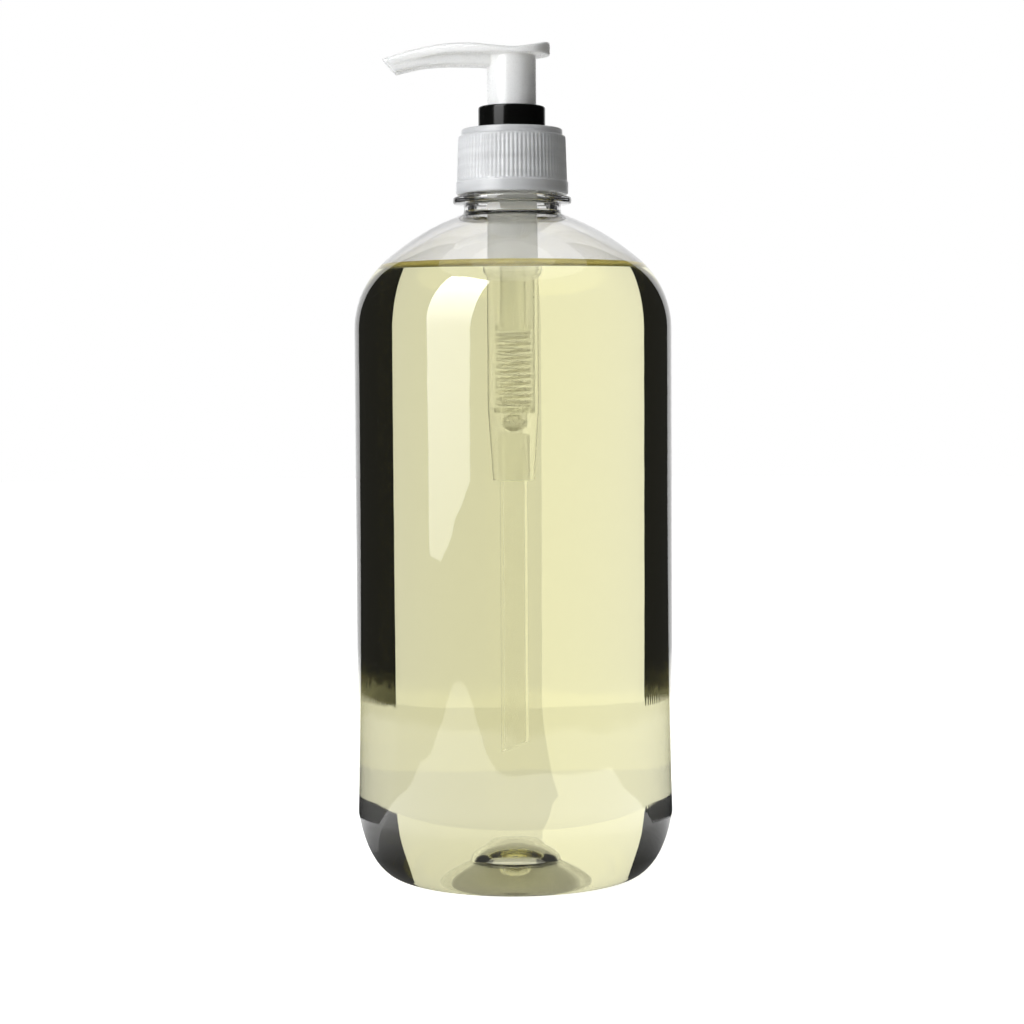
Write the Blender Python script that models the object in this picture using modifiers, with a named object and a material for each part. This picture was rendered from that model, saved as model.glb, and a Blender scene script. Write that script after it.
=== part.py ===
"""Pump bottle for hand sanitizer: a clear blown bottle, its liquid and a screw-on dispensing pump.

Lengths are in metres and +Z is up. The origin is on the bottle's axis, at the plane it stands on.
The spout points along -X.
"""

import math

import bmesh
import bpy
from mathutils import Matrix, Vector

# Clearance between pieces that seat on each other, and around pieces that slide or turn
SEAT_GAP = 0.0003

# Blown bottle
BODY_RADIUS = 0.0450
BODY_WALL = 0.0008
SIDE_TOP = 0.1554
SHOULDER_RADIUS = 0.0259
SHOULDER_SWEEP = math.radians(47.9)
CROWN_RADIUS = 0.0660
NECK_FILLET = 0.0010

# Underside of the bottle
CORNER_HEIGHT = 0.0182
CORNER_SLOPE = math.radians(8.7)
CORNER_UPPER_HANDLE = 0.0142
CORNER_LOWER_HANDLE = 0.0028
STANDING_RING_RADIUS = 0.0339
STANDING_RING_WIDTH = 0.0020
PUSH_UP_CREASE_RADIUS = 0.0215
PUSH_UP_CREASE_HEIGHT = 0.0037
PUSH_UP_DOME_RADIUS = 0.0088
PUSH_UP_DOME_FOOT = 0.0058
PUSH_UP_DOME_RISE = 0.0052

# Neck finish, a 28 mm one
NECK_WAIST_RADIUS = 0.01375
NECK_WAIST_HEIGHT = 0.0029
NECK_BORE_RADIUS = 0.01085
SUPPORT_RING_RADIUS = 0.01677
SUPPORT_RING_THICKNESS = 0.0018
SUPPORT_RING_CHAMFER = 0.0005
NECK_FINISH_HEIGHT = 0.0148
THREAD_ROOT_RADIUS = 0.0127
THREAD_DEPTH = 0.00105
THREAD_PITCH = 0.004233
THREAD_TURNS = 1.5
THREAD_START_BELOW_LAND = 0.0029
CLOSURE_THREAD_TURNS = 1.25
CLOSURE_THREAD_DROP = 0.0013

# Liquid, whose level lies this far below the foot of the neck
HEADSPACE_DEPTH = 0.0145

# Screw closure
CLOSURE_TOP_RADIUS = 0.0143
CLOSURE_TOP_HEIGHT = 0.0021
CLOSURE_TOP_THICKNESS = 0.0015
CLOSURE_BAND_TOP_RADIUS = 0.0152
CLOSURE_BAND_FOOT_RADIUS = 0.0156
CLOSURE_BEAD_RADIUS = 0.0159
CLOSURE_BEAD_HEIGHT = 0.0034
CLOSURE_FOOT_ABOVE_RING = 0.0008
CLOSURE_EDGE_ROUND = 0.0006
RIB_COUNT = 80
RIB_GROOVE_DEPTH = 0.0003
RIB_GROOVE_RADIUS = 0.0006

# Pump housing, from its mouth down to the dip tube socket
GASKET_THICKNESS = 0.0010
FLANGE_RADIUS = 0.0126
FLANGE_THICKNESS = 0.0010
MOUTH_RADIUS = 0.0082
MOUTH_HEIGHT = 0.0068
SNAP_BEAD_HEIGHT = 0.0003
SNAP_BEAD_BELOW_MOUTH = 0.0024
SNAP_BEAD_HALF_WIDTH = 0.0005
UPPER_BARREL_RADIUS = 0.0085
UPPER_BARREL_LENGTH = 0.0141
PISTON_BARREL_RADIUS = 0.00712
PISTON_BARREL_LENGTH = 0.0194
MIDDLE_BARREL_RADIUS = 0.0062
MIDDLE_BARREL_LENGTH = 0.0101
SPRING_BARREL_RADIUS = 0.00535
SPRING_BARREL_LENGTH = 0.0303
BARREL_WALL = 0.0010
BARREL_STEP = 0.0008
TAIL_END_RADIUS = 0.0043
TAIL_LENGTH = 0.0202
CHAMBER_FLOOR_ABOVE_TAIL = 0.0187

# Inlet valve and dip tube
INLET_BALL_RADIUS = 0.0024
INLET_HOLE_RADIUS = 0.0017
INLET_HOLE_LENGTH = 0.0010
BALL_LIFT = 0.0005
RETAINER_THICKNESS = 0.0012
RETAINER_SLOT_WIDTH = 0.0012
RETAINER_SLOT_REACH = 0.0029
DIP_TUBE_RADIUS = 0.0029
DIP_TUBE_WALL = 0.0007
DIP_TUBE_END_HEIGHT = 0.0365
DIP_TUBE_CUT_ANGLE = math.radians(28)

# Return spring
SPRING_LENGTH = 0.0209
SPRING_OUTER_RADIUS = 0.0037
SPRING_WIRE_RADIUS = 0.0004
SPRING_COILS = 12
SPRING_END_GAP = 0.00012

# Piston group
PISTON_LENGTH = 0.0055
PISTON_LIP_WALL = 0.0007
PISTON_LIP_DEPTH = 0.0016
PISTON_HUB_WALL = 0.0010
PISTON_GROOVE_DEPTH = 0.0006
PISTON_BELOW_BARREL_TOP = 0.0010
STEM_RADIUS = 0.0035
STEM_BORE_RADIUS = 0.0015
STEM_FLANGE_RADIUS = 0.0046
STEM_FLANGE_THICKNESS = 0.0010
OUTLET_BALL_RADIUS = 0.0019
ROD_RADIUS = 0.0026
ROD_FOOT_THICKNESS = 0.0015
ROD_HEAD_RADIUS = 0.0046
ROD_HEAD_THICKNESS = 0.0014
ROD_SPIGOT_RADIUS = 0.0020
ROD_SPIGOT_LENGTH = 0.0105
ROD_FLUTE_RADIUS = 0.0009

# Locking collar
COLLAR_RADIUS = 0.0095
COLLAR_HEIGHT = 0.0060
COLLAR_ROUND = 0.0005

# Actuator: skirt and socket
SKIRT_RADIUS = 0.00695
SKIRT_WALL = 0.0012
SKIRT_INSIDE_COLLAR = 0.0043
SOCKET_WALL = 0.0009
SOCKET_ABOVE_SKIRT_END = 0.0028
SOCKET_DEPTH = 0.0080
SKIRT_CEILING_ABOVE_SOCKET = 0.0022

# Actuator: head plate and spout, heights above the closure's top
HEAD_BACK_RADIUS = 0.0082
HEAD_BACK_CENTRE = 0.0027
HEAD_EDGE_ROUND = 0.0012
HEAD_UNDER_ROUND = 0.0004
HEAD_CROWN = 0.0003
SPOUT_REACH = 0.0362
SPOUT_TIP_HALF_WIDTH = 0.0034
DUCT_ROOT_HALF_WIDTH = 0.0044
DUCT_TIP_HALF_WIDTH = 0.0031
DUCT_EDGE_ROUND = 0.0010
DUCT_RADIUS = 0.0015
DUCT_BEND_RADIUS = 0.0025
TIP_CUT_ANGLE = math.radians(48)
TIP_OVERRUN = 0.0060
HEAD_TOP_LINE = ((-0.0362, 0.0197), (-0.0288, 0.0219), (-0.0197, 0.0235), (-0.0116, 0.0237),
                 (-0.0038, 0.0228), (0.0008, 0.0225), (0.0054, 0.0230), (0.0109, 0.0244))
RIM_BOTTOM_LINE = ((-0.0362, 0.0168), (-0.0306, 0.0185), (-0.0186, 0.0208), (-0.0090, 0.0208),
                   (0.0109, 0.0206))
SPOUT_BOTTOM_LINE = ((-0.0362, 0.0144), (-0.0319, 0.0158), (-0.0254, 0.0173), (-0.0182, 0.0178),
                     (-0.0128, 0.0178), (-0.0040, 0.0175))

# Steps around the turned pieces
BOTTLE_SEGMENTS = 32
CLOSURE_SEGMENTS = RIB_COUNT // 2
PUMP_SEGMENTS = 24
SMALL_SEGMENTS = 16
WIRE_POINTS_PER_TURN = 10
THREAD_POINTS_PER_TURN = 18

SMOOTH_ANGLE = math.radians(35)
MERGE_DISTANCE = 0.000005

# Places along the axis that follow from the sizes
CROWN_CENTRE = Vector((BODY_RADIUS - SHOULDER_RADIUS, SIDE_TOP)) - (CROWN_RADIUS - SHOULDER_RADIUS) * Vector(
    (math.cos(SHOULDER_SWEEP), math.sin(SHOULDER_SWEEP)))
NECK_BOTTOM = CROWN_CENTRE.y + math.sqrt(CROWN_RADIUS ** 2 - (NECK_WAIST_RADIUS - CROWN_CENTRE.x) ** 2)
LIQUID_LEVEL = NECK_BOTTOM - HEADSPACE_DEPTH
RING_BOTTOM = NECK_BOTTOM + NECK_WAIST_HEIGHT
RING_TOP = RING_BOTTOM + SUPPORT_RING_THICKNESS
NECK_LAND = RING_TOP + NECK_FINISH_HEIGHT
GASKET_BOTTOM = NECK_LAND + SEAT_GAP
FLANGE_BOTTOM = GASKET_BOTTOM + GASKET_THICKNESS + SEAT_GAP
FLANGE_TOP = FLANGE_BOTTOM + FLANGE_THICKNESS
CLOSURE_CEILING = FLANGE_TOP + SEAT_GAP
CLOSURE_TOP = CLOSURE_CEILING + CLOSURE_TOP_THICKNESS
CLOSURE_FOOT = RING_TOP + CLOSURE_FOOT_ABOVE_RING
CLOSURE_BORE_RADIUS = THREAD_ROOT_RADIUS + THREAD_DEPTH + SEAT_GAP
THREAD_TOP = NECK_LAND - THREAD_START_BELOW_LAND
MOUTH_TOP = FLANGE_TOP + MOUTH_HEIGHT
COLLAR_BOTTOM = CLOSURE_TOP + SEAT_GAP
COLLAR_TOP = COLLAR_BOTTOM + COLLAR_HEIGHT
BARREL_TOP = FLANGE_BOTTOM - UPPER_BARREL_LENGTH
PISTON_BARREL_FOOT = BARREL_TOP - BARREL_STEP - PISTON_BARREL_LENGTH
MIDDLE_BARREL_TOP = PISTON_BARREL_FOOT - BARREL_STEP / 2
MIDDLE_BARREL_FOOT = MIDDLE_BARREL_TOP - MIDDLE_BARREL_LENGTH
SPRING_BARREL_TOP = MIDDLE_BARREL_FOOT - BARREL_STEP
TAIL_TOP = SPRING_BARREL_TOP - SPRING_BARREL_LENGTH
TAIL_END = TAIL_TOP - TAIL_LENGTH
CHAMBER_FLOOR = TAIL_END + CHAMBER_FLOOR_ABOVE_TAIL
RETAINER_BOTTOM = CHAMBER_FLOOR + SEAT_GAP
SPRING_BOTTOM = RETAINER_BOTTOM + RETAINER_THICKNESS + SEAT_GAP
ROD_FOOT = SPRING_BOTTOM + SPRING_LENGTH + SEAT_GAP
INLET_BALL_CENTRE = RETAINER_BOTTOM - BALL_LIFT - INLET_BALL_RADIUS
INLET_SEAT_TOP = INLET_BALL_CENTRE - math.sqrt(2) * (INLET_BALL_RADIUS + SEAT_GAP) + INLET_HOLE_RADIUS
SOCKET_SHOULDER = INLET_SEAT_TOP - INLET_HOLE_LENGTH
DIP_TUBE_TOP = SOCKET_SHOULDER - SEAT_GAP
PISTON_TOP = BARREL_TOP - PISTON_BELOW_BARREL_TOP
PISTON_BOTTOM = PISTON_TOP - PISTON_LENGTH
STEM_FLANGE_BOTTOM = PISTON_TOP + SEAT_GAP
ROD_HEAD_TOP = PISTON_BOTTOM - SEAT_GAP
ROD_HEAD_BOTTOM = ROD_HEAD_TOP - ROD_HEAD_THICKNESS
ROD_TOP = ROD_HEAD_TOP + ROD_SPIGOT_LENGTH
SKIRT_END = COLLAR_TOP - SKIRT_INSIDE_COLLAR
SOCKET_END = SKIRT_END + SOCKET_ABOVE_SKIRT_END
SOCKET_CEILING = SOCKET_END + SOCKET_DEPTH
STEM_TOP = SOCKET_CEILING - SEAT_GAP
OUTLET_BALL_CENTRE = STEM_TOP - OUTLET_BALL_RADIUS - BALL_LIFT
SKIRT_CEILING = SOCKET_CEILING + SKIRT_CEILING_ABOVE_SOCKET

# Radii that follow from the sizes
MOUTH_BORE_RADIUS = SKIRT_RADIUS + SEAT_GAP
PISTON_BORE_RADIUS = PISTON_BARREL_RADIUS - BARREL_WALL
MIDDLE_BORE_RADIUS = MIDDLE_BARREL_RADIUS - BARREL_WALL
SPRING_BORE_RADIUS = SPRING_BARREL_RADIUS - BARREL_WALL
DIP_SOCKET_RADIUS = DIP_TUBE_RADIUS + SEAT_GAP
BALL_CHAMBER_RADIUS = INLET_BALL_RADIUS + SEAT_GAP
STEM_SOCKET_RADIUS = STEM_RADIUS + SEAT_GAP
SPIGOT_BORE_RADIUS = ROD_SPIGOT_RADIUS + SEAT_GAP


# Collections, materials and parents

def new_collection(name):
    """Add a collection to the scene."""
    collection = bpy.data.collections.new(name)
    bpy.context.scene.collection.children.link(collection)
    return collection


def make_material(name, colour, roughness, metallic=0.0, transmission=0.0, ior=1.5):
    """A Principled material of one colour."""
    material = bpy.data.materials.new(name)
    material.use_nodes = True
    shader = material.node_tree.nodes["Principled BSDF"]
    shader.inputs["Base Color"].default_value = (*colour, 1.0)
    shader.inputs["Roughness"].default_value = roughness
    shader.inputs["Metallic"].default_value = metallic
    shader.inputs["Transmission Weight"].default_value = transmission
    shader.inputs["IOR"].default_value = ior
    material.diffuse_color = (*colour, 1.0)
    return material


def make_empty(name, height, parent, parts):
    """An empty on the bottle's axis, which its moving pieces hang from."""
    empty = bpy.data.objects.new(name, None)
    empty.empty_display_size = 0.02
    parts.objects.link(empty)
    empty.location = (0.0, 0.0, height)
    if parent is not None:
        attach(empty, parent)
    return empty


def attach(child, parent):
    """Parent an object without moving it."""
    bpy.context.view_layer.update()
    child.parent = parent
    child.matrix_parent_inverse = parent.matrix_world.inverted()


# Shape helpers

def arc(centre, radius, start, end, steps):
    """Points along an arc in the (radius, height) plane."""
    points = []
    for step in range(steps + 1):
        angle = start + (end - start) * step / steps
        points.append((centre[0] + radius * math.cos(angle), centre[1] + radius * math.sin(angle)))
    return points


def cubic(start, start_handle, end_handle, end, steps):
    """Points along a cubic curve with two handles."""
    points = []
    for step in range(steps + 1):
        t = step / steps
        weights = ((1 - t) ** 3, 3 * t * (1 - t) ** 2, 3 * t * t * (1 - t), t ** 3)
        corners = (start, start_handle, end_handle, end)
        points.append(tuple(sum(w * c[axis] for w, c in zip(weights, corners)) for axis in (0, 1)))
    return points


def smooth_line(points, x):
    """Height at x of a smooth line through points that are sorted by x."""
    last = len(points) - 1
    index = 0
    while index < last - 1 and x > points[index + 1][0]:
        index += 1
    (x0, z0), (x1, z1) = points[index], points[index + 1]
    before = points[max(index - 1, 0)]
    after = points[min(index + 2, last)]
    slope_start = (z1 - before[1]) / (x1 - before[0])
    slope_end = (after[1] - z0) / (after[0] - x0)
    width = x1 - x0
    t = (x - x0) / width
    if t < 0.0:
        return z0 + slope_start * (x - x0)
    if t > 1.0:
        return z1 + slope_end * (x - x1)
    hermite = (2 * t ** 3 - 3 * t ** 2 + 1, t ** 3 - 2 * t ** 2 + t, -2 * t ** 3 + 3 * t ** 2, t ** 3 - t ** 2)
    return hermite[0] * z0 + hermite[1] * width * slope_start + hermite[2] * z1 + hermite[3] * width * slope_end


def offset(profile, distance):
    """Move an open profile sideways, to the right of its run, with mitred corners."""
    points = [Vector(point) for point in profile]
    moved = []
    for index, point in enumerate(points):
        runs = []
        if index > 0:
            runs.append((point - points[index - 1]).normalized())
        if index < len(points) - 1:
            runs.append((points[index + 1] - point).normalized())
        sides = [Vector((run.y, -run.x)) for run in runs]
        middle = (sides[0] + sides[-1]).normalized()
        shifted = point + middle * distance / middle.dot(sides[0])
        moved.append((0.0 if point.x == 0.0 else shifted.x, shifted.y))
    return moved


def below(profile, level):
    """The part of a downward profile that lies under a level, cut at the level."""
    kept = []
    for upper, lower in zip(profile, profile[1:]):
        if lower[1] >= level:
            continue
        if upper[1] > level:
            share = (upper[1] - level) / (upper[1] - lower[1])
            kept.append((upper[0] + (lower[0] - upper[0]) * share, level))
        elif not kept:
            kept.append(upper)
        kept.append(lower)
    return kept


def evaluated_copy(source, name, collection):
    """A plain mesh object with the source's modifiers or curve settings worked in."""
    bpy.context.view_layer.update()
    graph = bpy.context.evaluated_depsgraph_get()
    mesh = bpy.data.meshes.new_from_object(source.evaluated_get(graph))
    build = bmesh.new()
    build.from_mesh(mesh)
    bmesh.ops.remove_doubles(build, verts=build.verts, dist=MERGE_DISTANCE)
    build.to_mesh(mesh)
    build.free()
    matrix = source.matrix_world.copy()
    bpy.data.objects.remove(source)
    copy = bpy.data.objects.new(name, mesh)
    mesh.name = name
    copy.matrix_world = matrix
    collection.objects.link(copy)
    return copy


def turned(name, profile, height, segments, collection, closed=False):
    """Turn a profile of (radius, height) points about the Z axis, with its origin at the given height."""
    mesh = bpy.data.meshes.new(name + "_profile")
    corners = [(radius, 0.0, level - height) for radius, level in profile]
    edges = [(index, index + 1) for index in range(len(corners) - 1)]
    if closed:
        edges.append((len(corners) - 1, 0))
    mesh.from_pydata(corners, edges, [])
    sketch = bpy.data.objects.new(name + "_profile", mesh)
    collection.objects.link(sketch)
    sketch.location = (0.0, 0.0, height)
    screw = sketch.modifiers.new("Turn", "SCREW")
    screw.axis = "Z"
    screw.steps = segments
    screw.render_steps = segments
    screw.use_merge_vertices = True
    screw.merge_threshold = MERGE_DISTANCE
    piece = evaluated_copy(sketch, name, collection)
    piece.data.shade_smooth()
    piece.data.set_sharp_from_angle(angle=SMOOTH_ANGLE)
    return piece


def poly_curve(name, points, thickness, resolution, collection, radii=None, twist="Z_UP", tilt=0.0):
    """A round wire or tube along a list of points, with filled caps."""
    curve = bpy.data.curves.new(name, "CURVE")
    curve.dimensions = "3D"
    curve.twist_mode = twist
    curve.bevel_depth = thickness
    curve.bevel_resolution = resolution
    curve.use_fill_caps = True
    spline = curve.splines.new("POLY")
    spline.points.add(len(points) - 1)
    for index, point in enumerate(points):
        spline.points[index].co = (*point, 1.0)
        spline.points[index].radius = 1.0 if radii is None else radii[index]
        spline.points[index].tilt = tilt
    wire = bpy.data.objects.new(name, curve)
    collection.objects.link(wire)
    return wire


def hide_cutter(cutter):
    """Show a cutter as wire only."""
    cutter.hide_render = True
    cutter.display_type = "WIRE"
    return cutter


def combine(piece, other, operation):
    """Add a live Boolean to a piece and hide the other object."""
    boolean = piece.modifiers.new(other.name, "BOOLEAN")
    boolean.operation = operation
    boolean.solver = "EXACT"
    boolean.object = hide_cutter(other)


def box(name, size, matrix, collection):
    """A cutter box with its centre at the matrix's place."""
    mesh = bpy.data.meshes.new(name)
    build = bmesh.new()
    bmesh.ops.create_cube(build, size=1.0, matrix=matrix @ Matrix.Diagonal((*size, 1.0)))
    build.to_mesh(mesh)
    build.free()
    cutter = bpy.data.objects.new(name, mesh)
    collection.objects.link(cutter)
    return cutter


def ball(name, radius, height, collection):
    """A ball on the axis."""
    mesh = bpy.data.meshes.new(name)
    build = bmesh.new()
    bmesh.ops.create_uvsphere(build, u_segments=SMALL_SEGMENTS, v_segments=SMALL_SEGMENTS // 2, radius=radius)
    build.to_mesh(mesh)
    build.free()
    piece = bpy.data.objects.new(name, mesh)
    collection.objects.link(piece)
    piece.location = (0.0, 0.0, height)
    mesh.shade_smooth()
    return piece


def thread_ridge(name, radius, top, turns, cutters):
    """A right-hand helical ridge whose lower and upper ends fade into the wall."""
    count = round(turns * THREAD_POINTS_PER_TURN)
    fade = THREAD_POINTS_PER_TURN / 6
    points = []
    radii = []
    for index in range(count + 1):
        turn = index / THREAD_POINTS_PER_TURN
        angle = 2 * math.pi * turn
        height = top - (turns - turn) * THREAD_PITCH
        points.append((radius * math.cos(angle), radius * math.sin(angle), height))
        radii.append(max(0.25, min(1.0, index / fade, (count - index) / fade)))
    wire = poly_curve(name + "_wire", points, THREAD_DEPTH, 0, cutters, radii)
    return evaluated_copy(wire, name, cutters)


# Bottle and liquid

def shoulder(inset, end_radius):
    """The shoulder inset from the outer surface, from a radius at the neck down to the side."""
    crown_radius = CROWN_RADIUS - inset
    crown_start = math.acos((end_radius - CROWN_CENTRE.x) / crown_radius)
    crown = arc(CROWN_CENTRE, crown_radius, crown_start, SHOULDER_SWEEP, 4)
    lower = arc((BODY_RADIUS - SHOULDER_RADIUS, SIDE_TOP), SHOULDER_RADIUS - inset, SHOULDER_SWEEP, 0.0, 4)
    return crown + lower[1:]


def underside():
    """The bottle's outer surface from the start of its base corner to the middle of its push-up."""
    corner_top = (BODY_RADIUS, CORNER_HEIGHT)
    upper_handle = (BODY_RADIUS - CORNER_UPPER_HANDLE * math.sin(CORNER_SLOPE),
                    CORNER_HEIGHT - CORNER_UPPER_HANDLE * math.cos(CORNER_SLOPE))
    lower_handle = (STANDING_RING_RADIUS + CORNER_LOWER_HANDLE, 0.0)
    corner = cubic(corner_top, upper_handle, lower_handle, (STANDING_RING_RADIUS, 0.0), 6)
    dome = []
    for step in range(4):
        angle = math.pi / 2 * step / 3
        radius = PUSH_UP_DOME_RADIUS * math.cos(angle) if step < 3 else 0.0
        dome.append((radius, PUSH_UP_DOME_FOOT + PUSH_UP_DOME_RISE * math.sin(angle)))
    ring_inside = (STANDING_RING_RADIUS - STANDING_RING_WIDTH, 0.0)
    return corner + [ring_inside, (PUSH_UP_CREASE_RADIUS, PUSH_UP_CREASE_HEIGHT)] + dome


def make_bottle(parts, cutters):
    """One blown bottle with its standing ring, push-up base, shoulder and threaded neck."""
    neck = [
        (THREAD_ROOT_RADIUS, NECK_LAND),
        (THREAD_ROOT_RADIUS, RING_TOP),
        (SUPPORT_RING_RADIUS - SUPPORT_RING_CHAMFER, RING_TOP),
        (SUPPORT_RING_RADIUS, RING_TOP - SUPPORT_RING_CHAMFER),
        (SUPPORT_RING_RADIUS, RING_BOTTOM + SUPPORT_RING_CHAMFER),
        (SUPPORT_RING_RADIUS - SUPPORT_RING_CHAMFER, RING_BOTTOM),
        (NECK_WAIST_RADIUS, RING_BOTTOM),
        (NECK_WAIST_RADIUS, NECK_BOTTOM + NECK_FILLET / 2),
    ]
    outer = neck + shoulder(0.0, NECK_WAIST_RADIUS + NECK_FILLET) + underside()
    base_inside = offset([(BODY_RADIUS, SIDE_TOP)] + underside(), BODY_WALL)
    inner = [(NECK_BORE_RADIUS, NECK_LAND)] + shoulder(BODY_WALL, NECK_BORE_RADIUS) + base_inside[1:]
    bottle = turned("bottle", inner[::-1] + outer, 0.0, BOTTLE_SEGMENTS, parts)
    combine(bottle, thread_ridge("neck_thread", THREAD_ROOT_RADIUS, THREAD_TOP, THREAD_TURNS, cutters), "UNION")
    bottle.data.materials.append(make_material("clear_pet", (0.92, 0.95, 0.94), 0.03, transmission=1.0, ior=1.57))
    return bottle


def make_liquid(parts):
    """The sanitizer up to its level, with a well around the pump and its dip tube."""
    gap = BODY_WALL + SEAT_GAP
    wall_side = below(shoulder(gap, NECK_BORE_RADIUS), LIQUID_LEVEL)
    floor = offset([(BODY_RADIUS, SIDE_TOP)] + underside(), gap)
    well = below(offset(housing_outside(), -SEAT_GAP), LIQUID_LEVEL)
    tube_side = DIP_TUBE_RADIUS + SEAT_GAP
    tube_foot = DIP_TUBE_END_HEIGHT - SEAT_GAP
    well = well[:-1] + [(well[-1][0], TAIL_END - SEAT_GAP), (tube_side, TAIL_END - SEAT_GAP),
                        (tube_side, tube_foot), (0.0, tube_foot)]
    liquid = turned("sanitizer_liquid", well[::-1] + wall_side + floor[1:], 0.0, BOTTLE_SEGMENTS, parts)
    liquid.data.materials.append(make_material("sanitizer", (0.90, 0.88, 0.62), 0.0, transmission=1.0, ior=1.36))
    return liquid


# Pump housing and what sits in its lower end

def housing_outside():
    """The housing's outer surface, from its flange down to the end of its tail."""
    return [
        (FLANGE_RADIUS, FLANGE_TOP),
        (FLANGE_RADIUS, FLANGE_BOTTOM),
        (UPPER_BARREL_RADIUS, FLANGE_BOTTOM),
        (UPPER_BARREL_RADIUS, BARREL_TOP),
        (PISTON_BARREL_RADIUS, BARREL_TOP - BARREL_STEP),
        (PISTON_BARREL_RADIUS, PISTON_BARREL_FOOT),
        (MIDDLE_BARREL_RADIUS, MIDDLE_BARREL_TOP),
        (MIDDLE_BARREL_RADIUS, MIDDLE_BARREL_FOOT),
        (SPRING_BARREL_RADIUS, SPRING_BARREL_TOP),
        (SPRING_BARREL_RADIUS, TAIL_TOP),
        (TAIL_END_RADIUS, TAIL_END),
    ]


def make_housing(parts):
    """The pump's stepped cylinder: mouth, flange, barrels, ball seat and dip tube socket."""
    bead = MOUTH_TOP - SNAP_BEAD_BELOW_MOUTH
    mouth = [
        (MOUTH_BORE_RADIUS, MOUTH_TOP),
        (MOUTH_RADIUS, MOUTH_TOP),
        (MOUTH_RADIUS, bead + SNAP_BEAD_HALF_WIDTH),
        (MOUTH_RADIUS + SNAP_BEAD_HEIGHT, bead),
        (MOUTH_RADIUS, bead - SNAP_BEAD_HALF_WIDTH),
        (MOUTH_RADIUS, FLANGE_TOP),
    ]
    inside = [
        (DIP_SOCKET_RADIUS, TAIL_END),
        (DIP_SOCKET_RADIUS, SOCKET_SHOULDER),
        (INLET_HOLE_RADIUS, SOCKET_SHOULDER),
        (INLET_HOLE_RADIUS, INLET_SEAT_TOP),
        (BALL_CHAMBER_RADIUS, INLET_SEAT_TOP + BALL_CHAMBER_RADIUS - INLET_HOLE_RADIUS),
        (BALL_CHAMBER_RADIUS, CHAMBER_FLOOR),
        (SPRING_BORE_RADIUS, CHAMBER_FLOOR),
        (SPRING_BORE_RADIUS, SPRING_BARREL_TOP),
        (MIDDLE_BORE_RADIUS, MIDDLE_BARREL_FOOT),
        (MIDDLE_BORE_RADIUS, PISTON_BARREL_FOOT),
        (PISTON_BORE_RADIUS, PISTON_BARREL_FOOT + BARREL_STEP),
        (PISTON_BORE_RADIUS, BARREL_TOP - BARREL_STEP / 2),
        (MOUTH_BORE_RADIUS, BARREL_TOP + BARREL_STEP),
    ]
    profile = mouth + housing_outside() + inside
    housing = turned("pump_housing", profile, FLANGE_BOTTOM, PUMP_SEGMENTS, parts, closed=True)
    housing.data.materials.append(make_material("natural_pp", (0.84, 0.85, 0.84), 0.3, transmission=0.4))
    return housing


def make_gasket(parts):
    """The foam washer between the neck's land and the housing's flange."""
    bore = UPPER_BARREL_RADIUS + SEAT_GAP
    top = GASKET_BOTTOM + GASKET_THICKNESS
    profile = [(bore, top), (FLANGE_RADIUS, top), (FLANGE_RADIUS, GASKET_BOTTOM), (bore, GASKET_BOTTOM)]
    gasket = turned("outer_gasket", profile, GASKET_BOTTOM, PUMP_SEGMENTS, parts, closed=True)
    gasket.data.materials.append(make_material("pe_foam", (0.88, 0.88, 0.86), 0.8))
    return gasket


def make_retainer(parts, cutters):
    """The slotted disc over the inlet ball, which also carries the spring's lower end."""
    top = RETAINER_BOTTOM + RETAINER_THICKNESS
    edge = SPRING_BORE_RADIUS - SEAT_GAP
    profile = [(0.0, top), (edge, top), (edge, RETAINER_BOTTOM), (0.0, RETAINER_BOTTOM)]
    retainer = turned("ball_retainer", profile, RETAINER_BOTTOM, SMALL_SEGMENTS, parts)
    middle = RETAINER_BOTTOM + RETAINER_THICKNESS / 2
    length = RETAINER_SLOT_REACH - RETAINER_SLOT_WIDTH / 2
    for index in range(3):
        turn = Matrix.Rotation(2 * math.pi * index / 3, 4, "Z")
        out = Matrix.Translation((RETAINER_SLOT_WIDTH / 2 + length / 2, 0.0, middle))
        size = (length, RETAINER_SLOT_WIDTH, RETAINER_THICKNESS * 2)
        combine(retainer, box(f"retainer_slot_{index}", size, turn @ out, cutters), "DIFFERENCE")
    retainer.data.materials.append(make_material("white_pp", (0.86, 0.86, 0.84), 0.35))
    return retainer


def make_dip_tube(parts, cutters):
    """The suction tube, cut off at a slant at its lower end."""
    bore = DIP_TUBE_RADIUS - DIP_TUBE_WALL
    profile = [(bore, DIP_TUBE_TOP), (DIP_TUBE_RADIUS, DIP_TUBE_TOP),
               (DIP_TUBE_RADIUS, DIP_TUBE_END_HEIGHT), (bore, DIP_TUBE_END_HEIGHT)]
    tube = turned("dip_tube", profile, DIP_TUBE_TOP, SMALL_SEGMENTS, parts, closed=True)
    size = 6 * DIP_TUBE_RADIUS
    hinge = Matrix.Translation((-DIP_TUBE_RADIUS, 0.0, DIP_TUBE_END_HEIGHT))
    tilt = hinge @ Matrix.Rotation(-DIP_TUBE_CUT_ANGLE, 4, "Y") @ Matrix.Translation((size / 3, 0.0, -size / 2))
    combine(tube, box("dip_tube_cut", (size, size, size), tilt, cutters), "DIFFERENCE")
    tube.data.materials.append(make_material("natural_pe_tube", (0.85, 0.86, 0.83), 0.3, transmission=0.6))
    return tube


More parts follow.
